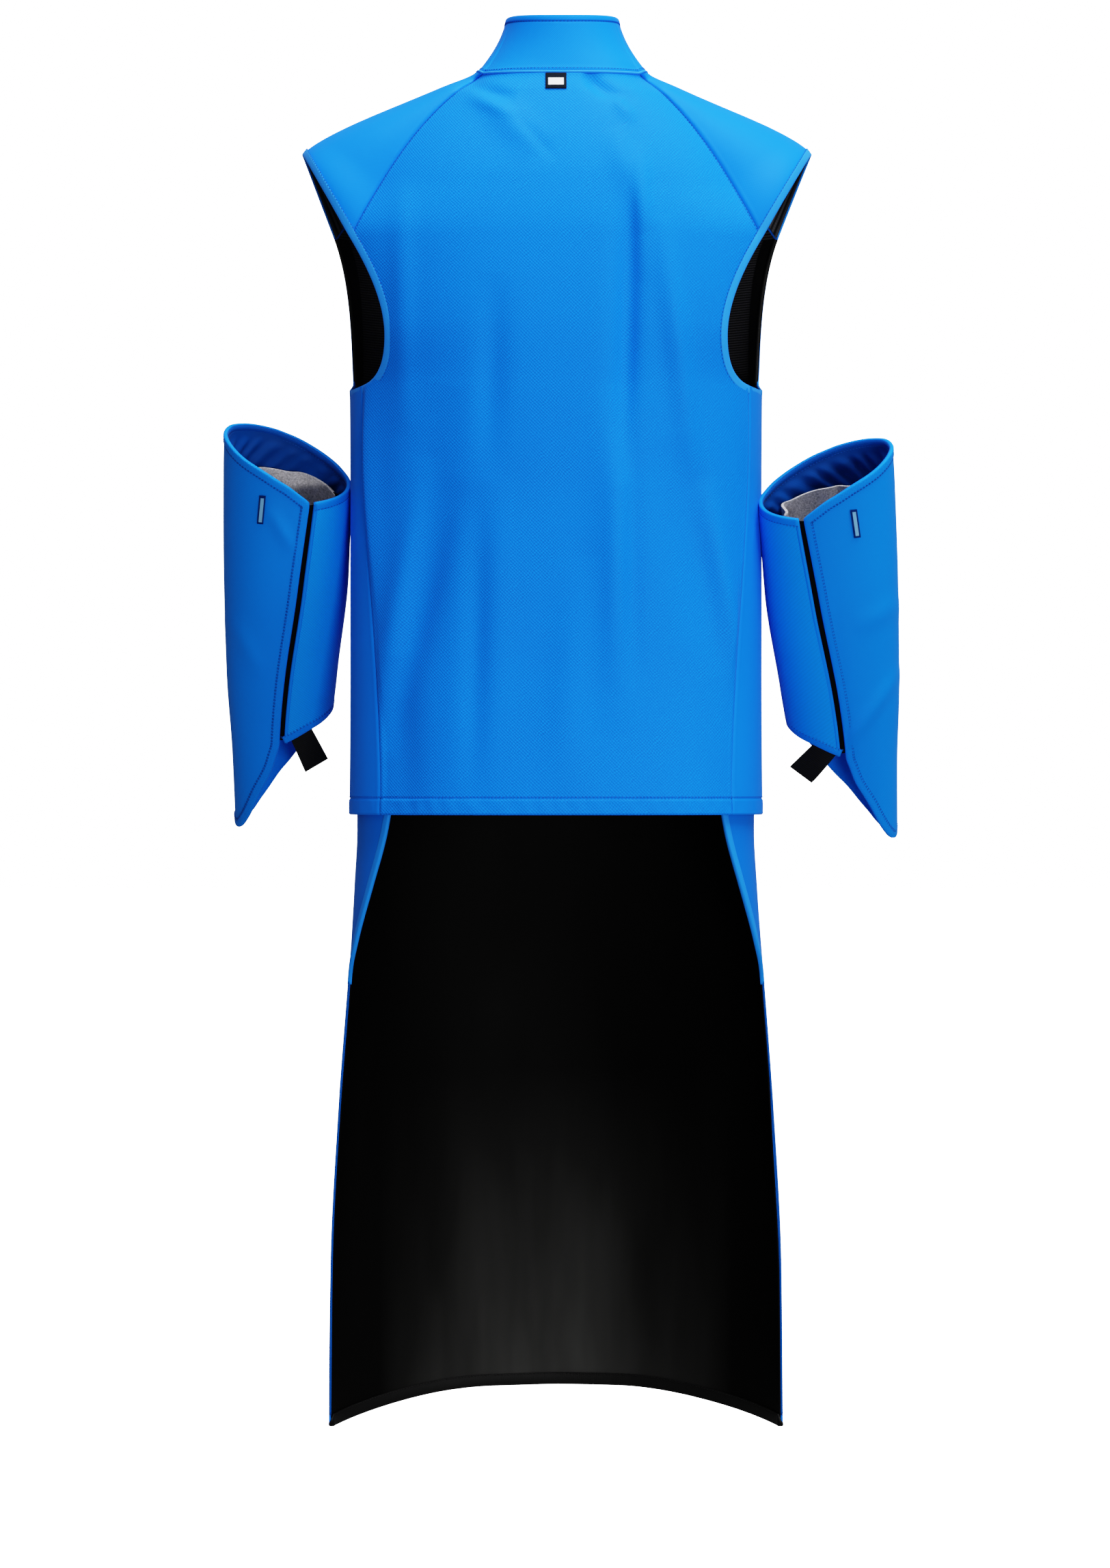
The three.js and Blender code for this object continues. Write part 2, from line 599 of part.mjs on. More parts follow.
group.add(sheet("collar_tab", smoothBlue.clone(), shifted(collarTabSurface), COLLAR_TAB_GRID,
  over(COLLAR_TAB.thickness)));
group.add(sheet("neck_label", labelNavy.clone(), neckLabelSurface, NECK_LABEL_GRID,
  over(NECK_LABEL.thickness)));

const right = halfPieces("right", 1);
const left = halfPieces("left", -1);
left.scale.x = -1;
group.add(right, left);

const rightGuard = new THREE.Group();
rightGuard.add(guardPieces("right", GUARD_RIGHT));
const leftGuard = new THREE.Group();
leftGuard.add(guardPieces("left", GUARD_LEFT));
leftGuard.scale.x = -1;
group.add(rightGuard, leftGuard);

export default group;
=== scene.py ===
# Water jetting vest with its forearm guards: the cloth, trims and finishes that show, and the studio
import math
from types import SimpleNamespace as Values

import bmesh
import bpy
import numpy as np
from mathutils import Matrix, Vector


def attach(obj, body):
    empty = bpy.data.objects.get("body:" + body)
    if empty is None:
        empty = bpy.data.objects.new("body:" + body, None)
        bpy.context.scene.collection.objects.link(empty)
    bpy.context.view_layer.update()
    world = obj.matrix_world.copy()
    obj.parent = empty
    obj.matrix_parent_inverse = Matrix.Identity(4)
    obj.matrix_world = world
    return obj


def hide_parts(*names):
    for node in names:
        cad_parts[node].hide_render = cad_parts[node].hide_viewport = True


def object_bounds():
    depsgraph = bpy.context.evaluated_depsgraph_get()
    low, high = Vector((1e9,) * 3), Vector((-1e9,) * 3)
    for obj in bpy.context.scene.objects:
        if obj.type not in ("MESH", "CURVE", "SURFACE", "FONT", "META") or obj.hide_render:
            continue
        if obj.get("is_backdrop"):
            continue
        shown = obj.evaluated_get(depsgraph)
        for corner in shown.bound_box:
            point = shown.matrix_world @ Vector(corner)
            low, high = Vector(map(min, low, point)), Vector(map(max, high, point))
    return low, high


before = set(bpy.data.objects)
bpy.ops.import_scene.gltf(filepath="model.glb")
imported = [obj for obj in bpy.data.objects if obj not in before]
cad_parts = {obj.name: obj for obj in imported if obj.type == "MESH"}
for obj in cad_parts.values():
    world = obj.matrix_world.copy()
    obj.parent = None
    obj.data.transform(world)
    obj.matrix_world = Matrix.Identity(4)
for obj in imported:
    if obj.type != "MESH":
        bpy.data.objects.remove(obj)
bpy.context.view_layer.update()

MM = 0.001
TURN = 2 * math.pi


def columns(names, *rows):
    """Table with named columns."""
    return dict(zip(names.split(), np.array(rows, float).T))


# Sizes in mm, from the part's source with small changes for the cloth: walls, levels and the neck
BACK_CLOTH = 1.5
SIDE_CLOTH = 1.5
SHOULDER_CLOTH = 1.8
FRONT_CLOTH = 2
LINING_CLOTH = 1
APRON_CLOTH = 2
COLLAR_CLOTH = 2.6
GUARD_CLOTH = 3
LAYER_GAP = 0.4
HEM_LEVEL = -759
FULLNESS = 2.4
SIDE_SEAM_ANGLE = math.radians(100)
UNDERARM_LEVEL = -318
NECK_DIP_BACK = -3
NECK_DIP_FRONT = -42
COLLAR_TOP = Values(
    half_width=57, back=62, front=66, back_level=46, front_level=10, side_rise=5, fullness=2.1,
    back_share=1.9,
)
COLLAR_FLARE = 0.13
COLLAR_FOOT_GAP = 0.6
COLLAR_SLIT = 0.25
COLLAR_TAB = Values(reach=1.3, low=0.05, high=0.93, thickness=1.6, lift=2)
NECK_LABEL = Values(half_width=10.5, top=-14.5, bottom=-31.5, thickness=1, lift=1.6)
NECK_SHIFT = Values(most=6.5, fade=45)
BACK_COLUMN_TURN = math.pi / 2.6
UNDERARM_EDGE = Values(rise=9, dip=12)
INSIDE_CLOTH = Values(thickness=0.6, shoulder_gap=0.9, facing_gap=0.15, facing_start=0.9)

# Torso sections: how far back and front stand off the middle, and where their curve would end sideways
BACK = columns(
    "z depth spread",
    (0, 68, 86), (-13, 73, 90), (-32, 84, 125), (-84, 106, 181), (-124, 117, 211), (-180, 125, 250),
    (-266, 128, 232), (-329, 126, 210), (-450, 120, 209.5), (-600, 116, 209.5), (HEM_LEVEL, 124, 210.5),
)
FRONT = columns(
    "z depth spread",
    (-20, 64, 90), (-62, 82, 150), (-110, 104, 205), (-165, 120, 253), (-230, 129, 229), (-265, 131, 219),
    (-329, 134, 210), (-450, 132, 209.5), (-600, 128, 209.5), (HEM_LEVEL, 134, 210.5),
)
APRON = columns(
    "z half_width fore aft fullness edge",
    (-700, 203, 127.4, 106, 2.4, 48), (-774, 202, 130, 118, 2.35, 55.3), (-830, 205, 134, 118, 2.25, 64.2),
    (-890, 209, 139, 118, 2.15, 77.3), (-935, 212.5, 143, 118, 2.05, 90), (-1060, 222, 148, 118, 1.85, 91),
    (-1220, 230, 154, 118, 1.7, 91), (-1382.8, 231.5, 158, 118, 1.6, 91),
)
APRON_HEM_RISE = Values(most=22.8, start=0.25, end=0.95)
APRON_HEM_TAPE = Values(height=11, thickness=1, reach=0.995, foot=0.001)

# Soft folds: a line from one end to the other in x, z, the half width and the height of its swell
BACK_FOLDS = columns(
    "x1 z1 x2 z2 width height",
    (-88, -22, -14, -98, 16, 4), (26, -14, 74, -50, 11, -4), (58, -70, 92, -180, 15, 4),
    (72, -110, 66, -430, 14, -6), (58, -330, 58, -680, 22, 5), (-110, -330, -165, -640, 26, -6),
    (118, -380, 165, -620, 24, -5), (-60, -420, -85, -740, 30, 4),
)
APRON_FOLDS = columns(
    "x1 z1 x2 z2 width height",
    (-120, -940, -135, -1420, 34, 6), (-30, -980, -45, -1420, 30, -5), (70, -960, 82, -1420, 36, 6),
    (160, -980, 168, -1420, 26, -4),
)

# Forearm guard, upright in its own frame: sections down its length, then its rim, lower edge and felt by turn
GUARD_FULLNESS = 2.2
GUARD_SECTIONS = columns(
    "z inner outer half_depth",
    (30, 63, 63.5, 53), (0, 64, 65, 52), (-120, 60, 67.5, 49.5), (-230, 46.5, 68, 45), (-315, 37.5, 65.5, 42),
    (-420, 36, 64.5, 40),
)
GUARD_RIM = columns(
    "turn z",
    (-22, -26), (-12, -16.5), (2, -2.5), (18, 9.5), (38, 19.5), (64, 30), (82, 33.5), (108, 33.5),
    (135, 29.5), (168, 19.5), (186, 9.5), (203, -0.5), (226, -12), (248, -20), (300, -25), (337, -26),
)
GUARD_LOWER_EDGE = columns(
    "turn z",
    (0, -296), (7, -321), (20, -345), (42, -381), (60, -396), (70, -398.5), (80, -398), (90, -396.5),
    (112, -400), (130, -402), (155, -384), (186, -345), (222, -299), (245, -279), (270, -269), (320, -277.5),
    (356, -292.5),
)
GUARD_FELT_TOP = columns("turn z", (22, -34), (90, -22), (150, -19), (181, -23), (241, -42))
GUARD_SLIT = Values(low=3, rise=20.8, curve=1.5, half=2.8)
GUARD_INNER_DEPTH = 3.9
GUARD_FELT = Values(start=22, end=241, low=-150, thickness=2.8, outer_end=100, turn=80, gap=3)
GUARD_CLOSURE = Values(half=15, high=-29, low=-290, thickness=1.2)
GUARD_STRAP = Values(length=64, half_width=12.5, bent=0.62, thickness=1.6)
GUARD_LABEL = Values(turn=18.5, half=2.9, lean=2.5, high=-16, low=-47, thickness=1, lift=1.5)
GUARD_FLAP = Values(start=0.45, end=0.985, low=0.02, high=0.97, thickness=0.4, lift=0.45)
GUARD_INSIDE = Values(end=0.985, low=0.6, high=0.985, thickness=0.4, gap=0.3)
# Black patch on the inside wall of the left guard only, beside its felt, in the hook tape's finish
GUARD_BLACK_PATCH = Values(start=234, end=276, low=-130, high=-40, thickness=1.2, gap=5.5)
GUARD_SEATS = {
    "right": Values(x=272.9, y=-46, z=-420.5, tilt=24, lean=2.3, widen=1.07, length=0.989, felt=-3,
                    strap_x=-32, strap_z=-320, strap_lean=36),
    "left": Values(x=273.4, y=-12, z=-402, tilt=24, lean=0, widen=1, length=1, felt=8,
                   strap_x=-27, strap_z=-325, strap_lean=22),
}

# Rows of the panels' edges, shared by the seams that run between them
SIDE_ROWS = 8
ARMHOLE_LOW_ROWS = 2
ARMHOLE_ROWS = 4
RAGLAN_ROWS = 6
BACK_ROWS = SIDE_ROWS + ARMHOLE_LOW_ROWS + ARMHOLE_ROWS + RAGLAN_ROWS
FRONT_ROWS = SIDE_ROWS + ARMHOLE_ROWS + RAGLAN_ROWS
HALF_COLUMNS = 9
CAP_COLUMNS = 8
NECK_COUNT = 2 * HALF_COLUMNS + CAP_COLUMNS


def blend(start, end, share):
    return start + (end - start) * share


def unit(vectors):
    return vectors / np.maximum(np.linalg.norm(vectors, axis=-1, keepdims=True), 1e-9)


def square(vectors, *ways):
    """Vectors turned square to some directions."""
    for way in ways:
        vectors = vectors - way * np.sum(vectors * way, axis=-1, keepdims=True)
    return unit(vectors)


def points(x, y, z):
    return np.stack(np.broadcast_arrays(x, y, z), axis=-1).astype(float)


def edge(*corners):
    """Seam or free edge as one cubic curve in x, z: start, two handles, end."""
    start, first, second, end = np.array(corners, float)

    def at(share):
        t = np.asarray(share, float)[..., None]
        s = 1 - t
        return start * s ** 3 + 3 * first * s * s * t + 3 * second * s * t * t + end * t ** 3

    return at


def through(levels, values):
    """Smooth curve through the values of one column, against another."""
    order = np.argsort(levels)
    x, y = levels[order], values[order]
    step = np.diff(y) / np.diff(x)
    before, after = step[:-1], step[1:]
    same = before * after > 0
    middle = np.where(same, 2 * before * after / np.where(same, before + after, 1), 0)
    slope = np.concatenate([step[:1], middle, step[-1:]])

    def at(level):
        level = np.clip(level, x[0], x[-1])
        i = np.clip(np.searchsorted(x, level) - 1, 0, len(x) - 2)
        span = x[i + 1] - x[i]
        t = (level - x[i]) / span
        lift = span * t * (1 - t) * ((1 - t) * slope[i] - t * slope[i + 1])
        return blend(y[i], y[i + 1], t * t * (3 - 2 * t)) + lift

    return at


def oval(angle, fullness):
    """Sideways and fore shares of a rounded oval's half sizes, at an angle from the middle of its fore."""
    side, fore = np.sin(angle), np.cos(angle)
    power = 2 / fullness
    return np.sign(side) * np.abs(side) ** power, np.sign(fore) * np.abs(fore) ** power


def swell(folds, x, z):
    """Height of all folds of a table at a place."""
    total = np.zeros(np.broadcast(x, z).shape)
    for x1, z1, x2, z2, width, height in zip(*folds.values()):
        run_x, run_z = x2 - x1, z2 - z1
        length = math.hypot(run_x, run_z)
        along = ((x - x1) * run_x + (z - z1) * run_z) / length ** 2
        aside = ((x - x1) * run_z - (z - z1) * run_x) / length / width
        total = total + height * np.sin(math.pi * np.clip(along, 0, 1)) * np.exp(-aside ** 2)
    return total


def edge_of(*parts):
    """Panel edge made of several curves with a number of rows each, from the hem up."""
    counts = np.array([rows for _, rows in parts], float)
    ends = np.cumsum(counts)

    def at(along):
        row = np.asarray(along, float) * ends[-1]
        index = np.minimum(np.searchsorted(ends, row, side="right"), len(parts) - 1)
        share = (row - ends[index] + counts[index]) / counts[index]
        each = np.stack([curve(share) for curve, _ in parts])
        point = np.take_along_axis(each, index[None, :, None], axis=0)[0]
        yoke = np.where(index == len(parts) - 1, share, 0)
        return Values(x=point[:, 0], z=point[:, 1], part=index, yoke=yoke)

    return at


def curves(table):
    """Smooth curve of each column of a table against its first column."""
    first, *others = table
    return Values(**{name: through(table[first], table[name]) for name in others})


back_curve, front_curve, apron_curve, guard_curve = map(curves, (BACK, FRONT, APRON, GUARD_SECTIONS))
guard_rim, guard_low, guard_felt_top = (
    curves(table).z for table in (GUARD_RIM, GUARD_LOWER_EDGE, GUARD_FELT_TOP)
)

SIDE_SEAM = edge((176.8, HEM_LEVEL), (174, -620), (199, -470), (194, -327))
ARMHOLE_LOW = edge((194, -327), (176, -322), (171, -302), (171, -279))
ARMHOLE_BACK = edge((171, -279), (171, -245), (190, -208), (206.5, -180))
RAGLAN_BACK = edge((206.5, -180), (157, -85), (125, -45), (78.2, -9))
RIDGE = edge((259.5, -86.5), (243, -64.3), (139, -29.3), (86, -2.8))
RAGLAN_FRONT = edge((229, -165), (186, -100), (134, -62), (79, -19))
SEAM_LIMIT = math.pi - SIDE_SEAM_ANGLE
UNDERARM_X = float(front_curve.spread(UNDERARM_LEVEL) * oval(SEAM_LIMIT, FULLNESS)[0])
FRONT_SEAM = edge(*((UNDERARM_X, blend(HEM_LEVEL, UNDERARM_LEVEL, part / 3)) for part in range(4)))
ARMHOLE_FRONT = edge((UNDERARM_X, UNDERARM_LEVEL), (211, -272), (211.5, -215), (229, -165))
back_edge = edge_of(
    (SIDE_SEAM, SIDE_ROWS), (ARMHOLE_LOW, ARMHOLE_LOW_ROWS), (ARMHOLE_BACK, ARMHOLE_ROWS),
    (RAGLAN_BACK, RAGLAN_ROWS),
)
front_edge = edge_of((FRONT_SEAM, SIDE_ROWS), (ARMHOLE_FRONT, ARMHOLE_ROWS), (RAGLAN_FRONT, RAGLAN_ROWS))


def torso_y(depth, spread, x):
    share = np.minimum(1, np.abs(x) / spread)
    return depth * (1 - share ** FULLNESS) ** (1 / FULLNESS)


def back_at(x, z):
    return points(x, -torso_y(back_curve.depth(z), back_curve.spread(z), x), z)


def front_at(x, z):
    return points(x, torso_y(front_curve.depth(z), front_curve.spread(z), x), z)


def back_surface(across, along):
    side = back_edge(along)
    x = side.x * np.sin(across * BACK_COLUMN_TURN) / math.sin(BACK_COLUMN_TURN)
    z = side.z + NECK_DIP_BACK * side.yoke * (1 - across ** 2)
    place = back_at(x, z)
    place[:, 1] -= swell(BACK_FOLDS, x, z) * (1 - across ** 4) * (1 - side.yoke ** 6)
    return place


def side_surface(across, along):
    seam = SIDE_SEAM(along)
    spread = back_curve.spread(seam[:, 1])
    near = np.arcsin((seam[:, 0] / spread) ** (FULLNESS / 2))
    ahead = (across + 1) / 2
    side, fore = oval(blend(near, SIDE_SEAM_ANGLE, ahead), FULLNESS)
    lift = UNDERARM_EDGE.rise * ahead ** 3 - UNDERARM_EDGE.dip * ahead * (1 - ahead)
    z = seam[:, 1] + along ** 4 * lift
    depth = np.where(fore > 0, back_curve.depth(z), front_curve.depth(z))
    return points(spread * side, -depth * fore, z)


def front_surface(across, along):
    side = front_edge(along)
    spread = front_curve.spread(side.z)
    share = np.clip(side.x / spread, 0, 1)
    limit = np.where(side.part == 0, SEAM_LIMIT, np.arcsin(share ** (FULLNESS / 2)))
    x = -spread * oval(across * limit, FULLNESS)[0]
    z = side.z + NECK_DIP_FRONT * side.yoke * (1 - across ** 2)
    return front_at(x, z)


def cap_surface(across, along):
    """Shoulder cap: arches from the back raglan seam over the ridge to the front raglan seam."""
    top, back, front = RIDGE(along), RAGLAN_BACK(along), RAGLAN_FRONT(along)
    behind = (across < 0)[:, None]
    seam = np.where(behind, back_at(back[:, 0], back[:, 1]), front_at(front[:, 0], front[:, 1]))
    turn = blend(math.pi / 2, 0, np.abs(across))
    dip = along ** 3 * (1 - np.abs(across))
    x = blend(seam[:, 0], top[:, 0], np.sin(turn))
    z = blend(seam[:, 2], top[:, 1], np.sin(turn)) - dip
    return points(x, seam[:, 1] * np.cos(turn), z)


def neck_seam(count):
    """Neck seam by count from the middle of the back: the back's columns, the cap's, then the front's."""
    ones = np.ones_like(count)
    at_back = back_surface(np.clip(count / HALF_COLUMNS, 0, 1), ones)
    at_cap = cap_surface(np.clip(2 * (count - HALF_COLUMNS) / CAP_COLUMNS - 1, -1, 1), ones)
    at_front = front_surface(np.clip((count - NECK_COUNT) / HALF_COLUMNS, -1, 0), ones)
    early = (count <= HALF_COLUMNS)[:, None]
    middle = (count < HALF_COLUMNS + CAP_COLUMNS)[:, None]
    return np.where(early, at_back, np.where(middle, at_cap, at_front))


def collar_at(count, share):
    """Collar by count round the neck and share of its height; counts past the front middle go on round."""
    past = np.abs(count) > NECK_COUNT
    size = np.where(past, 2 * NECK_COUNT - np.abs(count), np.abs(count))
    foot = neck_seam(size)
    angle = np.arctan2(foot[:, 0] / COLLAR_TOP.half_width, -foot[:, 1] / COLLAR_TOP.back)
    side, fore = oval(angle, COLLAR_TOP.fullness)
    behind = (1 + np.cos(angle)) / 2
    rim_y = -np.where(fore > 0, COLLAR_TOP.back, COLLAR_TOP.front) * fore
    backed = np.minimum(1, behind * COLLAR_TOP.back_share)
    rim_z = blend(COLLAR_TOP.front_level, COLLAR_TOP.back_level, backed)
    rim_z = rim_z + COLLAR_TOP.side_rise * np.sin(angle) ** 2
    inward = share + COLLAR_FLARE * np.sin(math.pi * share)
    flip = np.where((count < 0) != past, -1, 1)
    return points(
        flip * blend(foot[:, 0], COLLAR_TOP.half_width * side, inward),
        blend(foot[:, 1], rim_y, inward),
        blend(foot[:, 2] + COLLAR_FOOT_GAP, rim_z, share),
    )


def collar_surface(across, along):
    return collar_at(across * (NECK_COUNT - COLLAR_SLIT), along)


def collar_tab_surface(across, along):
    return collar_at(NECK_COUNT + across * COLLAR_TAB.reach, blend(COLLAR_TAB.low, COLLAR_TAB.high, along))


def neck_label_surface(across, along):
    return back_at(NECK_LABEL.half_width * across, blend(NECK_LABEL.bottom, NECK_LABEL.top, along))


APRON_TOP = APRON["z"].max()
APRON_LOW = APRON["z"].min()


def apron_surface(across, along):
    level = blend(APRON_LOW, APRON_TOP, along)
    angle = across * np.radians(180 - apron_curve.edge(level))
    side, fore = oval(angle, apron_curve.fullness(level))
    depth = np.where(fore > 0, apron_curve.fore(level), apron_curve.aft(level))
    x = -apron_curve.half_width(level) * side
    fold = swell(APRON_FOLDS, x, level) * (1 - across ** 4)
    rise = APRON_HEM_RISE
    share = np.clip((np.abs(across) - rise.start) / (rise.end - rise.start), 0, 1)
    z = level + rise.most * (1 - along) ** 2 * (1 - share ** 2 * (3 - 2 * share))
    return points(x, depth * fore + fold, z)


def hem_tape_surface(across, along):
    tape = APRON_HEM_TAPE
    return apron_surface(across * tape.reach, tape.foot + along * tape.height / (APRON_TOP - APRON_LOW))


def guard_width(z):
    """Middle and half width of a guard's section."""
    inner, outer = guard_curve.inner(z), guard_curve.outer(z)
    return (outer - inner) / 2, (outer + inner) / 2


def guard_at(turn, z):
    side, fore = oval(np.radians(turn), GUARD_FULLNESS)
    middle, half_width = guard_width(z)
    return points(middle + half_width * side, -guard_curve.half_depth(z) * fore, z)


def guard_slit(along):
    return -GUARD_SLIT.low - GUARD_SLIT.rise * along ** GUARD_SLIT.curve


def guard_shell_surface(across, along):
    slit = guard_slit(along)
    turn = blend(slit + GUARD_SLIT.half, slit + 360 - GUARD_SLIT.half, (across + 1) / 2)
    return guard_at(turn, blend(guard_low(turn), guard_rim(turn), along))


def guard_felt_surface(seat):
    def at(across, along):
        turn = blend(GUARD_FELT.start, GUARD_FELT.end, (across + 1) / 2)
        pushed = 1 - np.clip((turn - GUARD_FELT.outer_end) / GUARD_FELT.turn, 0, 1)
        return guard_at(turn, blend(GUARD_FELT.low, guard_felt_top(turn) + seat.felt * pushed, along))

    return at


def guard_closure_surface(across, along):
    z = blend(GUARD_CLOSURE.low, GUARD_CLOSURE.high, along)
    slit = guard_slit((z - guard_low(0)) / (guard_rim(0) - guard_low(0)))
    return guard_at(slit + across * GUARD_CLOSURE.half, z)


def guard_strap_surface(seat):
    """Tape that leans to the body on its way down and leaves the flap's curve in a straight line."""
    lean = math.radians(seat.strap_lean)
    bent = GUARD_STRAP.bent
    bent_fore = (1 - bent ** GUARD_FULLNESS) ** (1 / GUARD_FULLNESS)
    fall = (bent / bent_fore) ** (GUARD_FULLNESS - 1)

    def at(across, along):
        up, aside = along * GUARD_STRAP.length, across * GUARD_STRAP.half_width
        x = seat.strap_x + up * math.sin(lean) + aside * math.cos(lean)
        z = seat.strap_z + up * math.cos(lean) - aside * math.sin(lean)
        middle, half_width = guard_width(z)
        side = np.abs(x - middle) / half_width
        fore = (1 - np.minimum(side, bent) ** GUARD_FULLNESS) ** (1 / GUARD_FULLNESS)
        return points(x, -guard_curve.half_depth(z) * (fore - fall * np.maximum(0, side - bent)), z)

    return at


def guard_label_surface(across, along):
    turn = GUARD_LABEL.turn + across * GUARD_LABEL.half + GUARD_LABEL.lean * (0.5 - along)
    return guard_at(turn, blend(GUARD_LABEL.low, GUARD_LABEL.high, along))


def black_patch_surface(across, along):
    turn = blend(GUARD_BLACK_PATCH.start, GUARD_BLACK_PATCH.end, (across + 1) / 2)
    return guard_at(turn, blend(GUARD_BLACK_PATCH.low, GUARD_BLACK_PATCH.high, along))


def mirrored(surface):
    """The same surface on the wearer's left, with its outward side kept."""
    return lambda across, along: surface(-across, along) * (-1, 1, 1)


def shifted(surface):
    """The same surface with its upper part moved to the wearer's right, as the neck is."""

    def at(across, along):
        place = surface(across, along)
        place[:, 0] += NECK_SHIFT.most * np.exp(np.minimum(0, place[:, 2]) / NECK_SHIFT.fade)
        return place

    return at


def patch(surface, across_ends, along_ends):
    """Part of a surface, between two places across it and two along it."""

    def at(across, along):
        return surface(blend(*across_ends, (across + 1) / 2), blend(*along_ends, along))

    return at


def seated(surface, side):
    """A guard's surface, moved from the guard's own frame to its seat beside the body."""
    seat = GUARD_SEATS[side]
    lean = Matrix.Rotation(math.radians(-seat.lean), 3, "Y")
    tilt = Matrix.Rotation(math.radians(seat.tilt), 3, "X")
    scale = Matrix.Diagonal((seat.widen, 2 - seat.widen, seat.length))
    shape = np.array(lean @ tilt @ scale).T
    place = np.array((seat.x, seat.y, seat.z))

    def at(across, along):
        return surface(across, along) @ shape + place

    return at if side == "right" else mirrored(at)


def outward(surface, across, along):
    """Outward direction of a surface, from short steps along it."""
    step = 1e-3
    right = surface(np.minimum(1, across + step), along)
    left = surface(np.maximum(-1, across - step), along)
    upper = surface(across, np.minimum(1, along + step))
    lower = surface(across, np.maximum(0, along - step))
    return unit(np.cross(right - left, upper - lower))


def sunk(surface, depth):
    """The same surface, a depth under its outer side."""
    return lambda across, along: surface(across, along) - outward(surface, across, along) * depth


def stops(*spans):
    """Grid places along one direction: spans given by their start, end and count."""
    rows = [np.linspace(start, end, count, endpoint=False) for start, end, count in spans]
    return np.concatenate([*rows, [spans[-1][1]]])


def closer_ends(limit, end_count, count):
    """Grid places across a sheet, closer together past a limit on each side."""
    return stops((-1, -limit, end_count), (-limit, limit, count), (limit, 1, end_count))


def linked(name, data):
    """New object, linked to the scene."""
    made = bpy.data.objects.new(name, data)
    bpy.context.scene.collection.objects.link(made)
    return made


def mesh_object(name, bm, finish):
    mesh = bpy.data.meshes.new(name)
    bm.to_mesh(mesh)
    bm.free()
    mesh.materials.append(finish.material)
    return linked(name, mesh)


def finished(name, bm, finish, node=None):
    """Makes a smooth piece with its finish and hangs it on the body."""
    for face in bm.faces:
        face.smooth = True
    piece = mesh_object(name, bm, finish)
    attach(piece, "root")
    if node:
        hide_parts(node)
    return piece


def gone(places, axis=0):
    """Length from the first place to each one, along one axis."""
    steps = np.linalg.norm(np.diff(places, axis=axis), axis=-1)
    return np.insert(np.cumsum(steps, axis=axis), 0, 0, axis=axis)


def grid_of(wide, tall):
    """Flat grid, with the column and row of each of its vertices."""
    bm = bmesh.new()
    bmesh.ops.create_grid(bm, x_segments=wide - 1, y_segments=tall - 1, size=1)
    bm.verts.index_update()
    flat = np.array([vert.co for vert in bm.verts])
    column = np.rint((flat[:, 0] + 1) / 2 * (wide - 1)).astype(int)
    row = np.rint((flat[:, 1] + 1) / 2 * (tall - 1)).astype(int)
    return bm, column, row


def lay(bm, place, woven):
    """Moves a grid's vertices to their places and writes its woven coordinates, both given in mm."""
    layer = bm.loops.layers.uv.new("weave")
    for vert, corner in zip(bm.verts, place):
        vert.co = corner * MM
    woven = woven * MM
    for face in bm.faces:
        for loop in face.loops:
            loop[layer].uv = woven[loop.vert.index]


def cloth(name, surface, across, along, thickness, finish, relief=None, node=None):
    """Sheet of cloth: a grid laid on a surface with relief in mm, woven coordinates, and its thickness."""
    across = np.linspace(-1, 1, across) if isinstance(across, int) else across
    along = np.linspace(0, 1, along) if isinstance(along, int) else along
    wide, tall = len(across), len(along)
    bm, column, row = grid_of(wide, tall)
    u, v = (grid.ravel() for grid in np.meshgrid(across, along))
    place = surface(u, v)
    net = place.reshape(tall, wide, 3)
    run, rise = gone(net, 1), gone(net, 0)
    middle = wide // 2
    at = Values(
        x=place[:, 0], y=place[:, 1], z=place[:, 2], left=run.ravel(), right=(run[:, -1:] - run).ravel(),
        foot=rise.ravel(), head=(rise[-1:] - rise).ravel(), weave_x=(run - run[:, [middle]]).ravel(),
    )
    at.side = np.minimum(at.left, at.right)
    if relief:
        place = place + outward(surface, u, v) * relief(at)[:, None]
    order = row * wide + column
    woven = np.stack([at.weave_x, np.repeat(rise[:, middle], wide)], axis=1)
    lay(bm, place[order], woven[order])
    for rim in bm.edges:
        rim.smooth = not rim.is_boundary
    piece = finished(name, bm, finish, node)
    wall = piece.modifiers.new("wall", "SOLIDIFY")
    wall.thickness = thickness * MM
    wall.offset = -1


INNER_SHARE = 0.97


def track(surface, across, along, inner_across, inner_along):
    """Line on a surface: its places, the way out of the cloth and the way into the cloth."""
    across, along, inner_across, inner_along = (
        np.array(values, float) for values in np.broadcast_arrays(across, along, inner_across, inner_along)
    )
    place = surface(across, along)
    out = outward(surface, across, along)
    run = unit(np.gradient(place, axis=0))
    into = square(surface(inner_across, inner_along) - place, run, out)
    return Values(place=place, out=out, into=into, closed=False)


def side_edge(surface, across, along):
    """Track up or down one side edge of a surface."""
    return track(surface, across, along, INNER_SHARE * across, along)


def cross_edge(surface, across, along, inner_along):
    """Track across a surface, at one end of it."""
    return track(surface, across, along, across, inner_along)


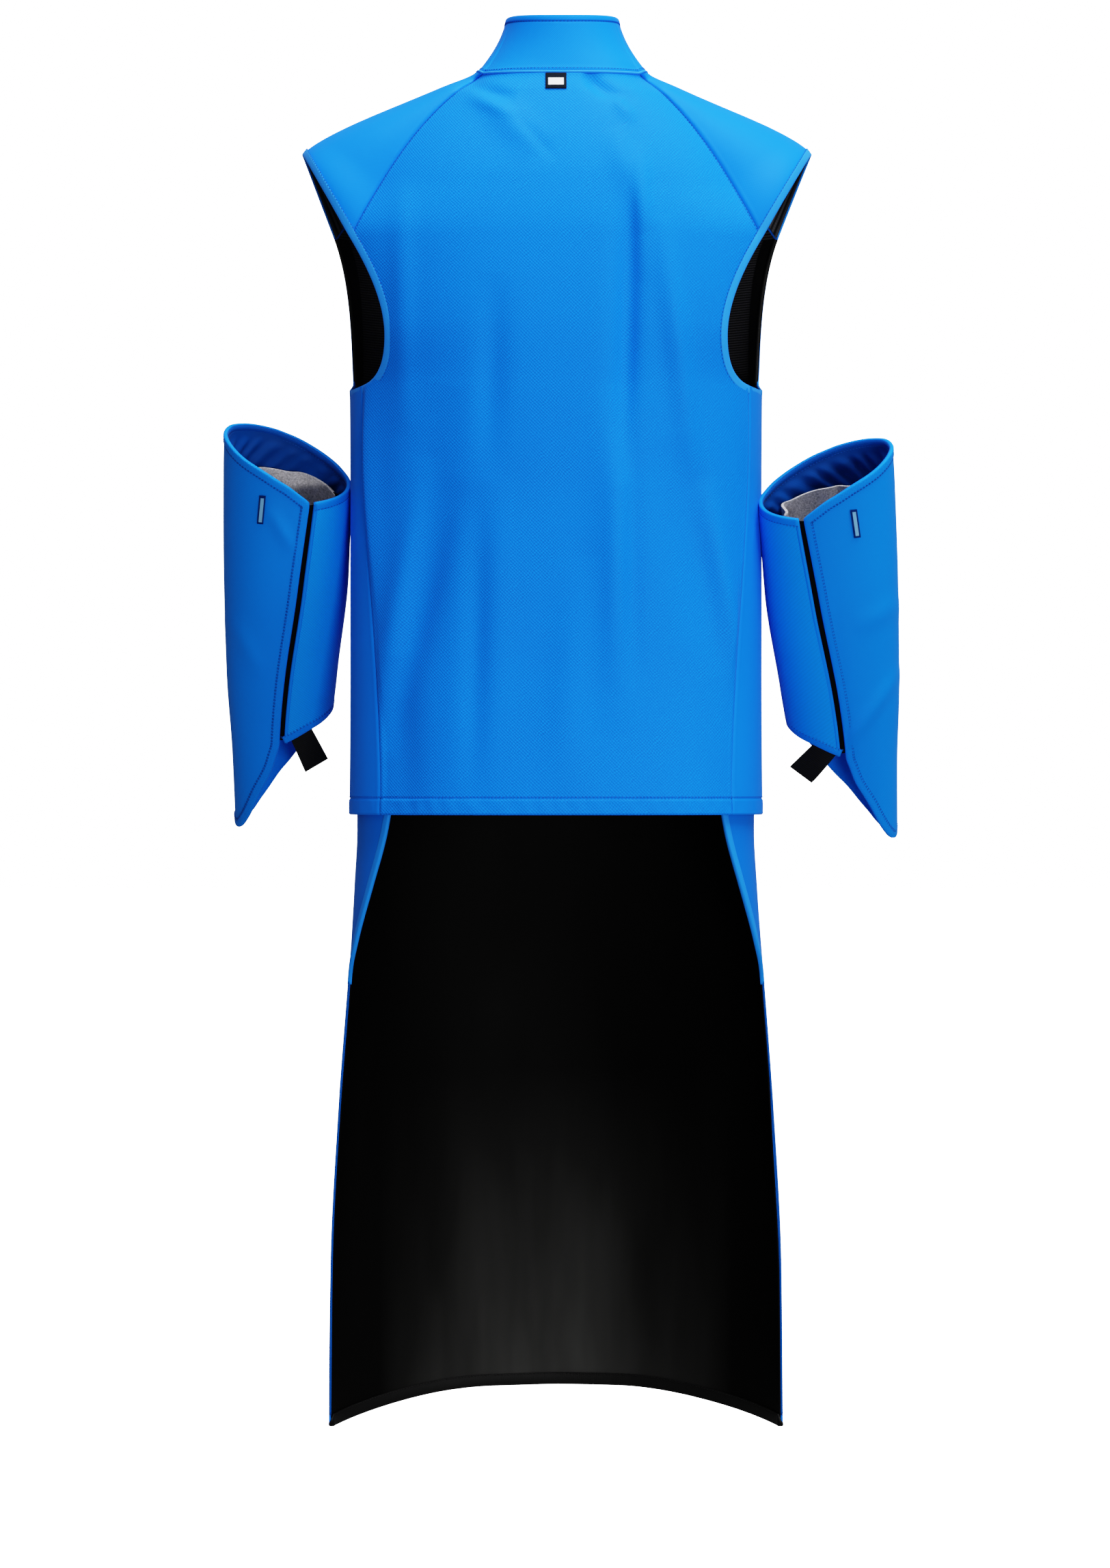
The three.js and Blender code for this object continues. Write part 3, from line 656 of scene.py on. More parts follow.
def even(lines, step, closed=False, soften=0):
    """Joins tracks end to end and places their points at even steps, softening corners."""
    parts = {name: np.concatenate([vars(line)[name] for line in lines]) for name in ("place", "out", "into")}
    if closed:
        parts = {name: np.concatenate([values, values[:1]]) for name, values in parts.items()}
    length = gone(parts["place"])
    count = max(4, int(round(length[-1] / step)))
    at = np.linspace(0, length[-1], count + 1)
    for name, values in parts.items():
        values = np.stack([np.interp(at, length, part) for part in values.T], axis=1)
        values = values[:-1] if closed else values
        for _ in range(soften):
            softer = (np.roll(values, 1, 0) + 2 * values + np.roll(values, -1, 0)) / 4
            if not closed:
                softer[[0, -1]] = values[[0, -1]]
            values = softer
        parts[name] = values
    place = parts["place"]
    run = unit(np.roll(place, -1, 0) - np.roll(place, 1, 0) if closed else np.gradient(place, axis=0))
    out = square(parts["out"], run)
    return Values(place=place, out=out, into=square(parts["into"], run, out), run=run, closed=closed)


def wrap(outer, inner, wall, proud):
    """Section of a binding folded over an edge: mm into the cloth and mm out of it, round its outline."""
    under = -wall - proud
    return [
        (outer, -0.5), (outer, proud * 0.5), (outer - 0.4, proud * 0.9), (outer * 0.75, proud),
        (outer * 0.4, proud * 1.1), (0.5, proud), (-0.4, proud * 0.1), (-0.8, -wall * 0.5),
        (-0.5, -wall - proud * 0.1), (0.5, under), (inner * 0.6, under), (inner - 0.4, under + proud * 0.2),
        (inner, -wall - proud * 0.45), (inner, -wall + 0.5),
    ]


def round_bead(radius, inset, lift, sides):
    """Section of a round bead or piping."""
    turns = np.linspace(0, TURN, sides, endpoint=False)
    return [(inset + radius * math.cos(turn), lift + radius * math.sin(turn)) for turn in turns]


# Sections of the facing's edge and of the band inside a guard's rim, in mm into the cloth and out of it
FACING_EDGE = [(-1.1, -0.7), (-0.75, -0.7), (-0.7, -3.2), (2.5, -3.4), (2.5, -4.4), (-1.1, -4.3)]
RIM_INSIDE = [(0.2, -GUARD_CLOTH - 0.2), (7, -GUARD_CLOTH), (7, -GUARD_CLOTH - 0.8), (0.4, -GUARD_CLOTH - 1)]
WELD = 1e-6


def swept(name, line, section, finish, reach=None):
    """Strip with a closed section, swept along a track; reach narrows it in places."""
    section = np.array([*section, section[0]])
    place, out, into = line.place, line.out, line.into
    if line.closed:
        place, out, into = (np.concatenate([values, values[:1]]) for values in (place, out, into))
    bm, column, row = grid_of(len(section), len(place))
    inset = section[column, :1]
    if reach is not None:
        inset = np.where(inset > 0, inset * reach[row][:, None], inset)
    shape = place[row] + into[row] * inset + out[row] * section[column, 1:]
    lay(bm, shape, np.stack([gone(section)[column], gone(place)[row]], axis=1))
    bmesh.ops.remove_doubles(bm, verts=bm.verts[:], dist=WELD)
    ends = [rim for rim in bm.edges if rim.is_boundary]
    if ends:
        bmesh.ops.holes_fill(bm, edges=ends, sides=0)
    bmesh.ops.recalc_face_normals(bm, faces=bm.faces[:])
    finished(name, bm, finish)


STITCH = Values(length=2.6, pitch=3.6, thread=0.42)


def stitched(name, rows, finish):
    """Rows of stitches: each row is a track, how far into the cloth it runs, and its height over it."""
    bm = bmesh.new()
    for line, inset, lift in rows:
        spaced = even([line], STITCH.pitch, line.closed)
        centre = spaced.place + spaced.into * inset + spaced.out * lift
        for middle, run, into, out in zip(centre, spaced.run, spaced.into, spaced.out):
            parts = (run * STITCH.length / 2, into * STITCH.thread, out * STITCH.thread, middle)
            shape = Matrix((*(np.stack(parts, axis=1) * MM), (0, 0, 0, 1)))
            bmesh.ops.create_icosphere(bm, subdivisions=1, radius=1, matrix=shape)
    bmesh.ops.recalc_face_normals(bm, faces=bm.faces[:])
    finished(name, bm, finish)


def maths(operation, reflected=False):
    """Method of a field that adds a Math node."""

    def method(self, *others):
        values = (*others, self) if reflected else (self, *others)
        return self.finish.node("ShaderNodeMath", {"operation": operation}, dict(enumerate(values)))

    return method


class Field:
    """A value that changes over a surface; sums and products of fields become shader nodes."""

    def __init__(self, finish, socket):
        self.finish = finish
        self.socket = socket

    __add__ = __radd__ = maths("ADD")
    __sub__ = maths("SUBTRACT")
    __rsub__ = maths("SUBTRACT", reflected=True)
    __mul__ = __rmul__ = maths("MULTIPLY")
    __lt__ = maths("LESS_THAN")
    __gt__ = maths("GREATER_THAN")
    __abs__ = maths("ABSOLUTE")
    sine = maths("SINE")
    at_least = maths("MAXIMUM")

    def ribs(self, pitch):
        """Rounded ribs from 0 to 1, one to each pitch in metres."""
        return (self * (TURN / pitch)).sine() * 0.5 + 0.5

    def loops(self, other, pitch):
        """Rounded bumps from 0 to 1, staggered in two directions."""
        return (self * (TURN / pitch)).sine() * (other * (TURN / pitch)).sine() * 0.5 + 0.5


class Finish:
    """One material, built from fields."""

    def __init__(self, name, slot):
        self.slot = slot
        self.material = bpy.data.materials.new(name)
        self.material.use_nodes = True
        self.tree = self.material.node_tree
        self.shader = self.tree.nodes["Principled BSDF"]

    def put(self, socket, value):
        if isinstance(value, Field):
            self.tree.links.new(value.socket, socket)
        else:
            socket.default_value = value

    def node(self, kind, settings, inputs, output=0):
        made = self.tree.nodes.new(kind)
        for name, value in settings.items():
            setattr(made, name, value)
        for name, value in inputs.items():
            self.put(made.inputs[name], value)
        return Field(self, made.outputs[output])

    def split(self, vector, second):
        """The first part of a vector and another one."""
        first = self.node("ShaderNodeSeparateXYZ", {}, {"Vector": vector})
        return first, Field(self, first.socket.node.outputs[second])

    def weave(self):
        """The two directions of the cloth in metres."""
        return self.split(self.node("ShaderNodeUVMap", {"uv_map": "weave"}, {}), "Y")

    def space(self):
        return self.node("ShaderNodeTexCoord", {}, {}, "Object")

    def noise(self, scale, detail=2.0, roughness=0.5, vector=None):
        inputs = {"Vector": vector or self.space(), "Scale": scale, "Detail": detail, "Roughness": roughness}
        return self.node("ShaderNodeTexNoise", {}, inputs)

    def between(self, share, first, second):
        """Mix of two colours."""
        settings = {"data_type": "RGBA", "clamp_factor": True}
        return self.node("ShaderNodeMix", settings, {0: share, 6: first, 7: second}, 2)

    def bump(self, height, depth):
        """Surface normal of a height that runs from 0 to 1, a depth in mm."""
        return self.node("ShaderNodeBump", {}, {"Strength": 1.0, "Distance": depth * MM, "Height": height})

    def done(self, **inputs):
        for name, value in inputs.items():
            self.put(self.shader.inputs[name.replace("_", " ")], value)
        return self

    def cloth(self, share, dark, light, rough, relief, depth, gloss=0.15, **nap):
        """Sets a mix of two colours, the roughness, the gloss and a relief with its depth in mm."""
        base = self.between(share, dark, light)
        return self.done(Base_Color=base, Roughness=rough, Normal=self.bump(relief, depth),
                         Specular_IOR_Level=gloss, **nap)


def colour(red, green, blue):
    return (red, green, blue, 1.0)


def grey(value):
    return colour(value, value, value)


def shade(tone, share):
    return colour(*(part * share for part in tone[:3]))


WHITE = grey(1)
BLUE = colour(0.004, 0.183, 0.8)
GUARD_BLUE = colour(0.004, 0.21, 0.8)
FLAP_BLUE = colour(0.006, 0.265, 0.89)
PALE_BLUE = colour(0.03, 0.26, 0.87)
APRON_BLUE = colour(0.02, 0.25, 0.85)
NAP = {"Sheen_Weight": 0.04, "Sheen_Roughness": 0.4}


def knit_cloth():
    """Bird's-eye knit: staggered raised loops on a closed ground."""
    made = Finish("bird_eye_knit", "back_knit")
    u, v = made.weave()
    drift = (made.noise(110) - 0.5) * 0.004
    loops = (u + drift).loops(v - drift, 0.0034)
    cloud, patchy = made.noise(9), made.noise(30)
    speck = made.noise(900, 1)
    tone = (loops - 0.5) * patchy * 1.5 + cloud * 0.3 + speck * 0.2 + 0.28
    return made.cloth(tone, shade(BLUE, 0.74), shade(BLUE, 1.17), cloud * 0.12 + 0.62,
                      loops * 0.8 + speck * 0.2, 0.3, **NAP)


def twill_cloth(name, slot, tone, pitch=0.0013, depth=0.07, ground=0.84):
    """Close twill: fine slanting ribs, soft clouding and a short nap."""
    made = Finish(name, slot)
    u, v = made.weave()
    ribs, cross = (u + v).ribs(pitch), (u - v).ribs(pitch * 1.7)
    cloud, speck = made.noise(7, 3), made.noise(1300, 1)
    share = ribs * 0.3 + cross * 0.15 + cloud * 0.3 + speck * 0.25
    return made.cloth(share, shade(tone, ground), shade(tone, 2 - ground), cloud * 0.14 + 0.55,
                      ribs * 0.6 + cross * 0.2 + speck * 0.2, depth, **NAP)


def satin_lining():
    """Black coated lining with a soft uneven sheen, painted into its base colour: lighter towards the lower
    middle.
    """
    made = Finish("black_satin", "black_lining")
    thread = made.weave()[0].ribs(0.0008)
    cloud, speck, soft = made.noise(5, 3), made.noise(700), made.noise(16)
    across, height = made.split(made.space(), "Z")
    # Painted sheen: the colour is lighter low down and near the middle, where a reflection of the lamps would
    # show.
    painted_sheen = (height * -4 - 4.1).at_least(0) * (1 - across * across * 30).at_least(0)
    long = made.node("ShaderNodeMapping", {}, {"Vector": made.space(), "Scale": (14, 14, 3)})
    streak = made.noise(1, 3, vector=long) * 2
    share = painted_sheen * streak * 0.6 + streak * 0.03 + cloud * 0.02 + speck * 0.02
    return made.cloth(share, grey(0.0009), colour(0.05, 0.05, 0.049), cloud * 0.2 + speck * 0.08 + 0.4,
                      thread * 0.03 + soft * 0.97, 0.8, gloss=0.045)


def rib_mesh():
    """Black lining mesh with fine level ribs."""
    made = Finish("black_rib_mesh", "black_lining")
    holes, ribs = (way.ribs(0.0026) for way in made.weave())
    weave = ribs * 0.75 + ribs * holes * 0.25
    return made.cloth(weave, colour(0.008, 0.008, 0.009), colour(0.08, 0.08, 0.086), ribs * 0.1 + 0.55,
                      weave, 0.35, gloss=0.25)


def black_tape():
    """Black woven tape: close ribs across its length."""
    made = Finish("black_tape", "black_lining")
    ribs = made.weave()[1].ribs(0.0011)
    speck = made.noise(800)
    return made.cloth(ribs * 0.6 + speck * 0.4, colour(0.001, 0.001, 0.0012), grey(0.007),
                      speck * 0.15 + 0.5, ribs, 0.1, gloss=0.25)


def strap_webbing():
    """Black webbing: heavy ribs along the strap, crossed by the weft."""
    made = Finish("strap_webbing", "black_webbing")
    u, v = made.weave()
    ribs = v.ribs(0.0022)
    weft = (u * (TURN / 0.0016) + (v * (TURN / 0.0044)).sine() * 1.5).sine() * 0.5 + 0.5
    fuzz = made.noise(1500)
    weave = ribs * 0.5 + weft * 0.3 + fuzz * 0.2
    return made.cloth(weave, colour(0.0006, 0.0006, 0.0007), colour(0.012, 0.012, 0.0125), fuzz * 0.2 + 0.65,
                      weave, 0.3, gloss=0.3)


def hook_tape():
    """Black hook-and-loop tape: a dense matt pile."""
    made = Finish("hook_and_loop", "black_webbing")
    pile, patches = made.noise(1100, 3, 0.7), made.noise(120)
    return made.cloth(pile * 0.7 + patches * 0.3, colour(0.0004, 0.0004, 0.0006), colour(0.006, 0.006, 0.007),
                      pile * 0.2 + 0.75, pile, 0.6)


def grey_felt():
    """Light grey felt with a mixed grain of light and dark fibres."""
    made = Finish("grey_felt", "grey_felt")
    grain, cloud = made.noise(520, 3, 0.7), made.noise(40)
    fibre = (grain - 0.5) * 2.2 + 0.5
    return made.cloth(fibre * 0.8 + cloud * 0.2, colour(0.23, 0.22, 0.22), colour(0.82, 0.79, 0.79),
                      cloud * 0.1 + 0.85, grain, 0.5, Sheen_Weight=0.2, Sheen_Roughness=0.5)


def woven_label(name, half_width, low, high, border, field):
    """Woven tab: a navy border round a plain pale field, whose half width, low and high ends are in mm."""
    made = Finish(name, "navy_label")
    u, v = made.weave()
    inside = (abs(u) < half_width * MM) * (v > low * MM) * (v < high * MM)
    threads = v.loops(u, 0.0007)
    return made.cloth(inside, made.between(threads, shade(border, 0.5), shade(border, 1.5)),
                      made.between(threads, shade(field, 0.86), field), threads * 0.15 + 0.5, threads, 0.06,
                      gloss=0.08)


def sewing_thread(name, slot, tone):
    """Twisted sewing thread."""
    made = Finish(name, slot)
    twist = made.noise(1800)
    base = made.between(twist, shade(tone, 0.7), shade(tone, 1.2))
    return made.done(Base_Color=base, Roughness=twist * 0.2 + 0.5, Specular_IOR_Level=0.35)


KNIT = knit_cloth()
SMOOTH = twill_cloth("smooth_twill", "smooth_cloth", BLUE)
COLLAR_TWILL = twill_cloth("collar_twill", "smooth_cloth", BLUE, 0.0021, 0.12, 0.8)
APRON_TWILL = twill_cloth("apron_twill", "apron_cloth", shade(BLUE, 0.9))
GUARD_TWILL = twill_cloth("guard_softshell", "guard_cloth", GUARD_BLUE, 0.0016, 0.1)
FLAP_TWILL = twill_cloth("guard_flap_softshell", "guard_cloth", FLAP_BLUE, 0.0024, 0.2, 0.72)
TRIM_TWILL = twill_cloth("trim_twill", "smooth_cloth", PALE_BLUE, 0.0017, 0.12)
GUARD_TRIM = twill_cloth("guard_trim", "guard_cloth", GUARD_BLUE, 0.0019, 0.26, 0.78)
# Band inside each guard's rim: painted shade, the blue darkened by half.
SHADED_RIM_TWILL = twill_cloth("guard_rim", "guard_cloth", shade(BLUE, 0.5), 0.0019, 0.26, 0.7)
APRON_TRIM = twill_cloth("apron_trim", "apron_cloth", APRON_BLUE, 0.0017, 0.12)
# Piping of the apron's lower edges: painted shade, the blue darkened to under half, for edges seen from the
# side.
SHADED_APRON_PIPING = twill_cloth("apron_piping_painted_shade", "apron_cloth", shade(BLUE, 0.45), 0.0017, 0.12)
# Inner face of the guards: painted shade, the blue darkened to about a third for the shade inside them.
SHADED_INSIDE_TWILL = twill_cloth("guard_inside_painted_shade", "guard_cloth", shade(BLUE, 0.34), 0.0016, 0.08)
SEAM_TAPE = twill_cloth("seam_tape", "smooth_cloth", shade(BLUE, 0.5))
SATIN = satin_lining()
RIB_MESH = rib_mesh()
BLACK_TAPE = black_tape()
WEBBING = strap_webbing()
HOOK_TAPE = hook_tape()
FELT = grey_felt()
NECK_WOVEN = woven_label("neck_label_weave", half_width=7.8, low=4.2, high=13.4,
                         border=colour(0.002, 0.005, 0.013), field=colour(0.78, 0.8, 0.82))
GUARD_WOVEN = woven_label("guard_label_weave", half_width=1.8, low=2.2, high=28.5,
                          border=colour(0.002, 0.03, 0.15), field=colour(0.2, 0.42, 0.68))
DARK_THREAD = sewing_thread("dark_blue_thread", "smooth_cloth", shade(BLUE, 0.5))
GUARD_THREAD = sewing_thread("guard_thread", "guard_cloth", shade(BLUE, 0.45))
APRON_THREAD = sewing_thread("apron_thread", "apron_cloth", shade(BLUE, 0.8))
BLACK_THREAD = sewing_thread("black_thread", "black_lining", grey(0.006))

# Sharper creases: a line from one end to the other in x, z, the half width and the height
BACK_CREASES = columns(
    "x1 z1 x2 z2 width height",
    (-92, -20, -40, -42, 7, -4), (-90, -36, -38, -62, 7, 2.2), (-44, -54, 2, -108, 6, -1.2),
    (26, -14, 64, -44, 7, -5.5), (40, -22, 80, -66, 7, 3), (78, -64, 66, -430, 9, -3.6),
    (83, -84, 85, -230, 9, 2.8), (-154, -120, -152, -380, 12, 3), (-60, -220, -68, -420, 14, -3.6),
    (-100, -420, -170, -700, 16, -5), (-130, -400, -188, -710, 14, 6), (-76, -430, -84, -750, 14, -5),
    (25, -500, 4, -740, 20, 3.6), (104, -160, 138, -430, 12, 5.5), (148, -420, 192, -660, 13, 7),
    (76, -370, 78, -640, 9, -3), (60, -370, 58, -640, 10, 2.2), (-158, -600, -152, -790, 20, -4),
    (-198, -290, -188, -580, 14, 7),
)
GUARD_CREASES = columns(
    "x1 z1 x2 z2 width height",
    (290, -700, 356, -606, 7, 2.6), (300, -572, 356, -540, 10, 1.6), (-292, -446, -264, -496, 7, 2),
    (-336, -550, -300, -620, 9, 1.8),
)
CREASE_FADE = 8
HEM = Values(stitch=18, turn=1.5, roll=1.1, doubled=0.5, step=0.6, groove=1.6, pucker=0.3, middle=9, spread=7)
PLEATS = Values(pitch=18, depth=1.5, start=6, fade=8)
FELT_CREASE = Values(place=54, depth=5, width=2.2, flat=46, slope=0.05)
FELT_CURL = Values(off=4.5, lip=10, end=13, run=6)


def groove(distance, width, depth):
    return -depth * np.exp(-(distance / width) ** 2)


def ripple(x, z, height):
    """Slow uneven waves of cloth that hangs."""
    slow = np.sin(x / 31 + z / 74 + 0.7) + np.sin(x / 53 - z / 47 + 2.1)
    return height * (slow + 0.6 * np.sin(x / 17 + z / 112 + 1.3)) / 2.6


def hem_relief(at):
    """Turned-up hem: doubled cloth, its stitch groove, small puckers and a rounded fold."""
    doubled = HEM.doubled / (1 + np.exp((at.foot - HEM.stitch + 1) / HEM.step))
    wave = HEM.pucker * np.sin(at.weave_x / 3.4 + 2 * np.sin(at.weave_x / 21))
    pucker = wave * np.exp(-((at.foot - HEM.middle) / HEM.spread) ** 2)
    fold = -HEM.roll * np.clip(1 - at.foot / HEM.turn, 0, 1) ** 2
    return doubled + pucker + fold + groove(at.foot - HEM.stitch + HEM.groove, 1.0, 1.0)


def seam_relief(distance):
    """Edge that turns under at a seam."""
    return groove(distance, 1.0, 0.6) + 0.3 * np.exp(-((distance - 3.4) / 1.8) ** 2)


def back_relief(at):
    creases = swell(BACK_CREASES, at.x, at.z) * np.clip(at.side / CREASE_FADE, 0, 1)
    return creases + ripple(at.x, at.z, 0.4) + hem_relief(at) + seam_relief(at.side) + seam_relief(at.head)


def side_relief(at):
    return ripple(at.y, at.z, 0.4) + hem_relief(at) + seam_relief(at.side)


def front_relief(at):
    return ripple(at.x, at.z, 0.7) + hem_relief(at) + seam_relief(at.side) + seam_relief(at.head)


def cap_relief(at):
    return ripple(at.x, at.y, 0.5) + seam_relief(at.side) + seam_relief(at.head)


def collar_relief(at):
    return ripple(at.weave_x, at.z, 0.25) + seam_relief(at.foot) + groove(at.head - 6, 0.8, 0.6)


def label_relief(at):
    """Rounded borders and a slightly raised field."""
    border = np.minimum(at.side, np.minimum(at.foot, at.head))
    return 0.25 * np.tanh(border / 0.8) - 0.25


def apron_relief(at):
    return ripple(at.x, at.z, 0.8)


def guard_relief(at):
    return ripple(at.x, at.z, 0.7) + swell(GUARD_CREASES, at.x, at.z)


def pleat_relief(way):
    """Soft pleats that start under the rim and slant outward on their way down."""

    def at_place(at):
        phase = (way * at.weave_x + at.head) * TURN / PLEATS.pitch
        wave = 1 + np.sin(phase + 0.7 * np.sin(phase / 2.7))
        return guard_relief(at) - PLEATS.depth * wave * np.clip((at.head - PLEATS.start) / PLEATS.fade, 0, 1)

    return at_place


def felt_relief(side):
    """Right: an end that curls off the wall, with two dents behind it. Left: one crease across the middle."""

    def at_place(at):
        waves = ripple(at.x, at.z, 0.6)
        if side == "left":
            crease = FELT_CREASE
            step = crease.depth / (1 + np.exp((crease.place - at.left) / crease.width))
            return waves - step - crease.slope * np.clip(crease.flat - at.left, 0, crease.flat)
        lip = FELT_CURL.lip * np.clip((FELT_CURL.end - at.right) / FELT_CURL.run, 0, 1)
        dents = groove(at.right - 17, 6, 4.5) + groove(at.right - 78, 7, 3.5)
        return waves - FELT_CURL.off - lip - dents

    return at_place


BACK_PANEL = shifted(back_surface)
FRONT_PANEL = shifted(front_surface)
COLLAR = shifted(collar_surface)
CAPS = {"right": shifted(cap_surface), "left": shifted(mirrored(cap_surface))}
FLANKS = {"right": side_surface, "left": mirrored(side_surface)}
SHELLS = {side: seated(guard_shell_surface, side) for side in GUARD_SEATS}
WAYS = {"right": 1, "left": -1}
LINING_DEPTH = FRONT_CLOTH + LAYER_GAP
APRON_DEPTH = APRON_CLOTH + LAYER_GAP
APRON_WALL = APRON_DEPTH + LINING_CLOTH
APRON_TAPE_DEPTH = APRON_WALL + LAYER_GAP
STRAP_DEPTH = GUARD_INNER_DEPTH + GUARD_CLOSURE.thickness + LAYER_GAP
FRONT_LOW, FRONT_HIGH = SIDE_ROWS / FRONT_ROWS, 1 - RAGLAN_ROWS / FRONT_ROWS
BACK_LOW, BACK_HIGH = SIDE_ROWS / BACK_ROWS, 1 - RAGLAN_ROWS / BACK_ROWS

# Panels of the vest
back_across = closer_ends(0.95, 10, 150)
back_along = stops((0, 0.024, 30), (0.024, 0.98, 230), (0.98, 1, 8))
cloth("back_cloth", BACK_PANEL, back_across, back_along, BACK_CLOTH, KNIT, back_relief, "back_panel")
front_across = closer_ends(0.97, 6, 110)
front_along = stops((0, 0.027, 24), (0.027, 0.98, 100), (0.98, 1, 5))
cloth("front_cloth", FRONT_PANEL, front_across, front_along, FRONT_CLOTH, SMOOTH, front_relief, "front_panel")
cloth("front_mesh_lining", sunk(FRONT_PANEL, LINING_DEPTH), 61, 81, LINING_CLOTH, RIB_MESH, None,
      "front_lining")
side_across = closer_ends(0.8, 8, 14)
side_along = stops((0, 0.06, 30), (0.06, 1, 100))
cap_across = closer_ends(0.93, 8, 60)
cap_along = stops((0, 0.95, 70), (0.95, 1, 8))
facing_panel = sunk(FRONT_PANEL, LINING_DEPTH + LINING_CLOTH + INSIDE_CLOTH.facing_gap)
for side, cap in CAPS.items():
    cloth(f"side_cloth_{side}", FLANKS[side], side_across, side_along, SIDE_CLOTH, SMOOTH, side_relief,
          f"side_panel_{side}")
    cloth(f"shoulder_cap_{side}", cap, cap_across, cap_along, SHOULDER_CLOTH, SMOOTH, cap_relief,
          f"shoulder_{side}")
    cloth(f"shoulder_lining_{side}", sunk(cap, SHOULDER_CLOTH + INSIDE_CLOTH.shoulder_gap), 61, 41,
          INSIDE_CLOTH.thickness, RIB_MESH)
    start = INSIDE_CLOTH.facing_start
    ends = (-1, -start) if side == "right" else (start, 1)
    cloth(f"armhole_facing_{side}", patch(facing_panel, ends, (FRONT_LOW, FRONT_HIGH)), 13, 81,
          INSIDE_CLOTH.thickness, BLACK_TAPE)

# Collar, its tab and the neck label
collar_along = stops((0, 0.15, 8), (0.15, 0.8, 14), (0.8, 1, 12))
cloth("stand_collar", COLLAR, 241, collar_along, COLLAR_CLOTH, COLLAR_TWILL, collar_relief, "collar")
cloth("collar_overlap", sunk(shifted(collar_tab_surface), -COLLAR_TAB.lift), 25, 25, COLLAR_TAB.thickness,
      COLLAR_TWILL, None, "collar_tab")
cloth("neck_tab", sunk(neck_label_surface, -NECK_LABEL.lift), 31, 25, NECK_LABEL.thickness, NECK_WOVEN,
      label_relief, "neck_label")

# Apron with its lining and hem tape
apron_across = closer_ends(0.97, 6, 120)
cloth("apron_cloth_outer", apron_surface, apron_across, 111, APRON_CLOTH, APRON_TWILL, apron_relief, "apron")
cloth("apron_satin_lining", sunk(apron_surface, APRON_DEPTH), apron_across, 111, LINING_CLOTH, SATIN,
      apron_relief, "apron_lining")
cloth("apron_hem_band", sunk(hem_tape_surface, APRON_TAPE_DEPTH), apron_across, 13, APRON_HEM_TAPE.thickness,
      BLACK_TAPE, None, "apron_hem_tape")

# Forearm guards, with a black patch beside the left one's felt
guard_across = closer_ends(0.9, 10, 130)
for side, way in WAYS.items():
    shell = SHELLS[side]
    seat = GUARD_SEATS[side]
    ends = (GUARD_FLAP.start, GUARD_FLAP.end) if side == "right" else (-GUARD_FLAP.end, -GUARD_FLAP.start)
    flap = patch(sunk(shell, -GUARD_FLAP.lift), ends, (GUARD_FLAP.low, GUARD_FLAP.high))
    inside = patch(sunk(shell, GUARD_CLOTH + GUARD_INSIDE.gap), (-GUARD_INSIDE.end, GUARD_INSIDE.end),
                   (GUARD_INSIDE.low, GUARD_INSIDE.high))
    felt = sunk(seated(guard_felt_surface(seat), side), GUARD_INNER_DEPTH + GUARD_FELT.gap)
    closure = sunk(seated(guard_closure_surface, side), GUARD_INNER_DEPTH)
    strap = sunk(seated(guard_strap_surface(seat), side), STRAP_DEPTH)
    label = sunk(seated(guard_label_surface, side), -GUARD_LABEL.lift)
    sheets = (
        ("cloth", shell, guard_across, 81, GUARD_CLOTH, GUARD_TWILL, guard_relief, "shell"),
        ("flap", flap, 61, 101, GUARD_FLAP.thickness, FLAP_TWILL, guard_relief, None),
        # The inner sheet's dark blue is painted shade.
        ("inner", inside, 161, 61, GUARD_INSIDE.thickness, SHADED_INSIDE_TWILL, pleat_relief(way), None),
        ("felt", felt, 91, 31, GUARD_FELT.thickness, FELT, felt_relief(side), "lining"),
        ("hook_strip", closure, 17, 61, GUARD_CLOSURE.thickness, HOOK_TAPE, None, "closure"),
        ("webbing", strap, 25, 41, GUARD_STRAP.thickness, WEBBING, None, "strap"),
        ("tab", label, 15, 41, GUARD_LABEL.thickness, GUARD_WOVEN, label_relief, "label"),
    )
    for name, *details, node in sheets:
        cloth(f"guard_{name}_{side}", *details, node and f"guard_{node}_{side}")
black_patch = sunk(seated(black_patch_surface, "left"), GUARD_INNER_DEPTH + GUARD_BLACK_PATCH.gap)
cloth("guard_black_patch_left", black_patch, 21, 21, GUARD_BLACK_PATCH.thickness, HOOK_TAPE)

# Neck: rolled top of the collar, piping in its seam and its stitches
TRIM_STEP = 2.5
LONG_STEP = 3
round_neck = np.linspace(-1, 1, 240)
collar_rim = even([cross_edge(COLLAR, round_neck, 1, 0.95)], TRIM_STEP, soften=2)
neck_line = even([cross_edge(COLLAR, round_neck, 0, 0.05)], 2, soften=2)
swept("collar_top_roll", collar_rim, wrap(outer=5.4, inner=3, wall=COLLAR_CLOTH, proud=0.8), COLLAR_TWILL)
swept("neck_piping", neck_line, round_bead(radius=1.4, inset=-1.1, lift=0.1, sides=10), TRIM_TWILL)
stitched("collar_stitches", [(collar_rim, 6.1, 0.1), (neck_line, 3, 0.35)], DARK_THREAD)

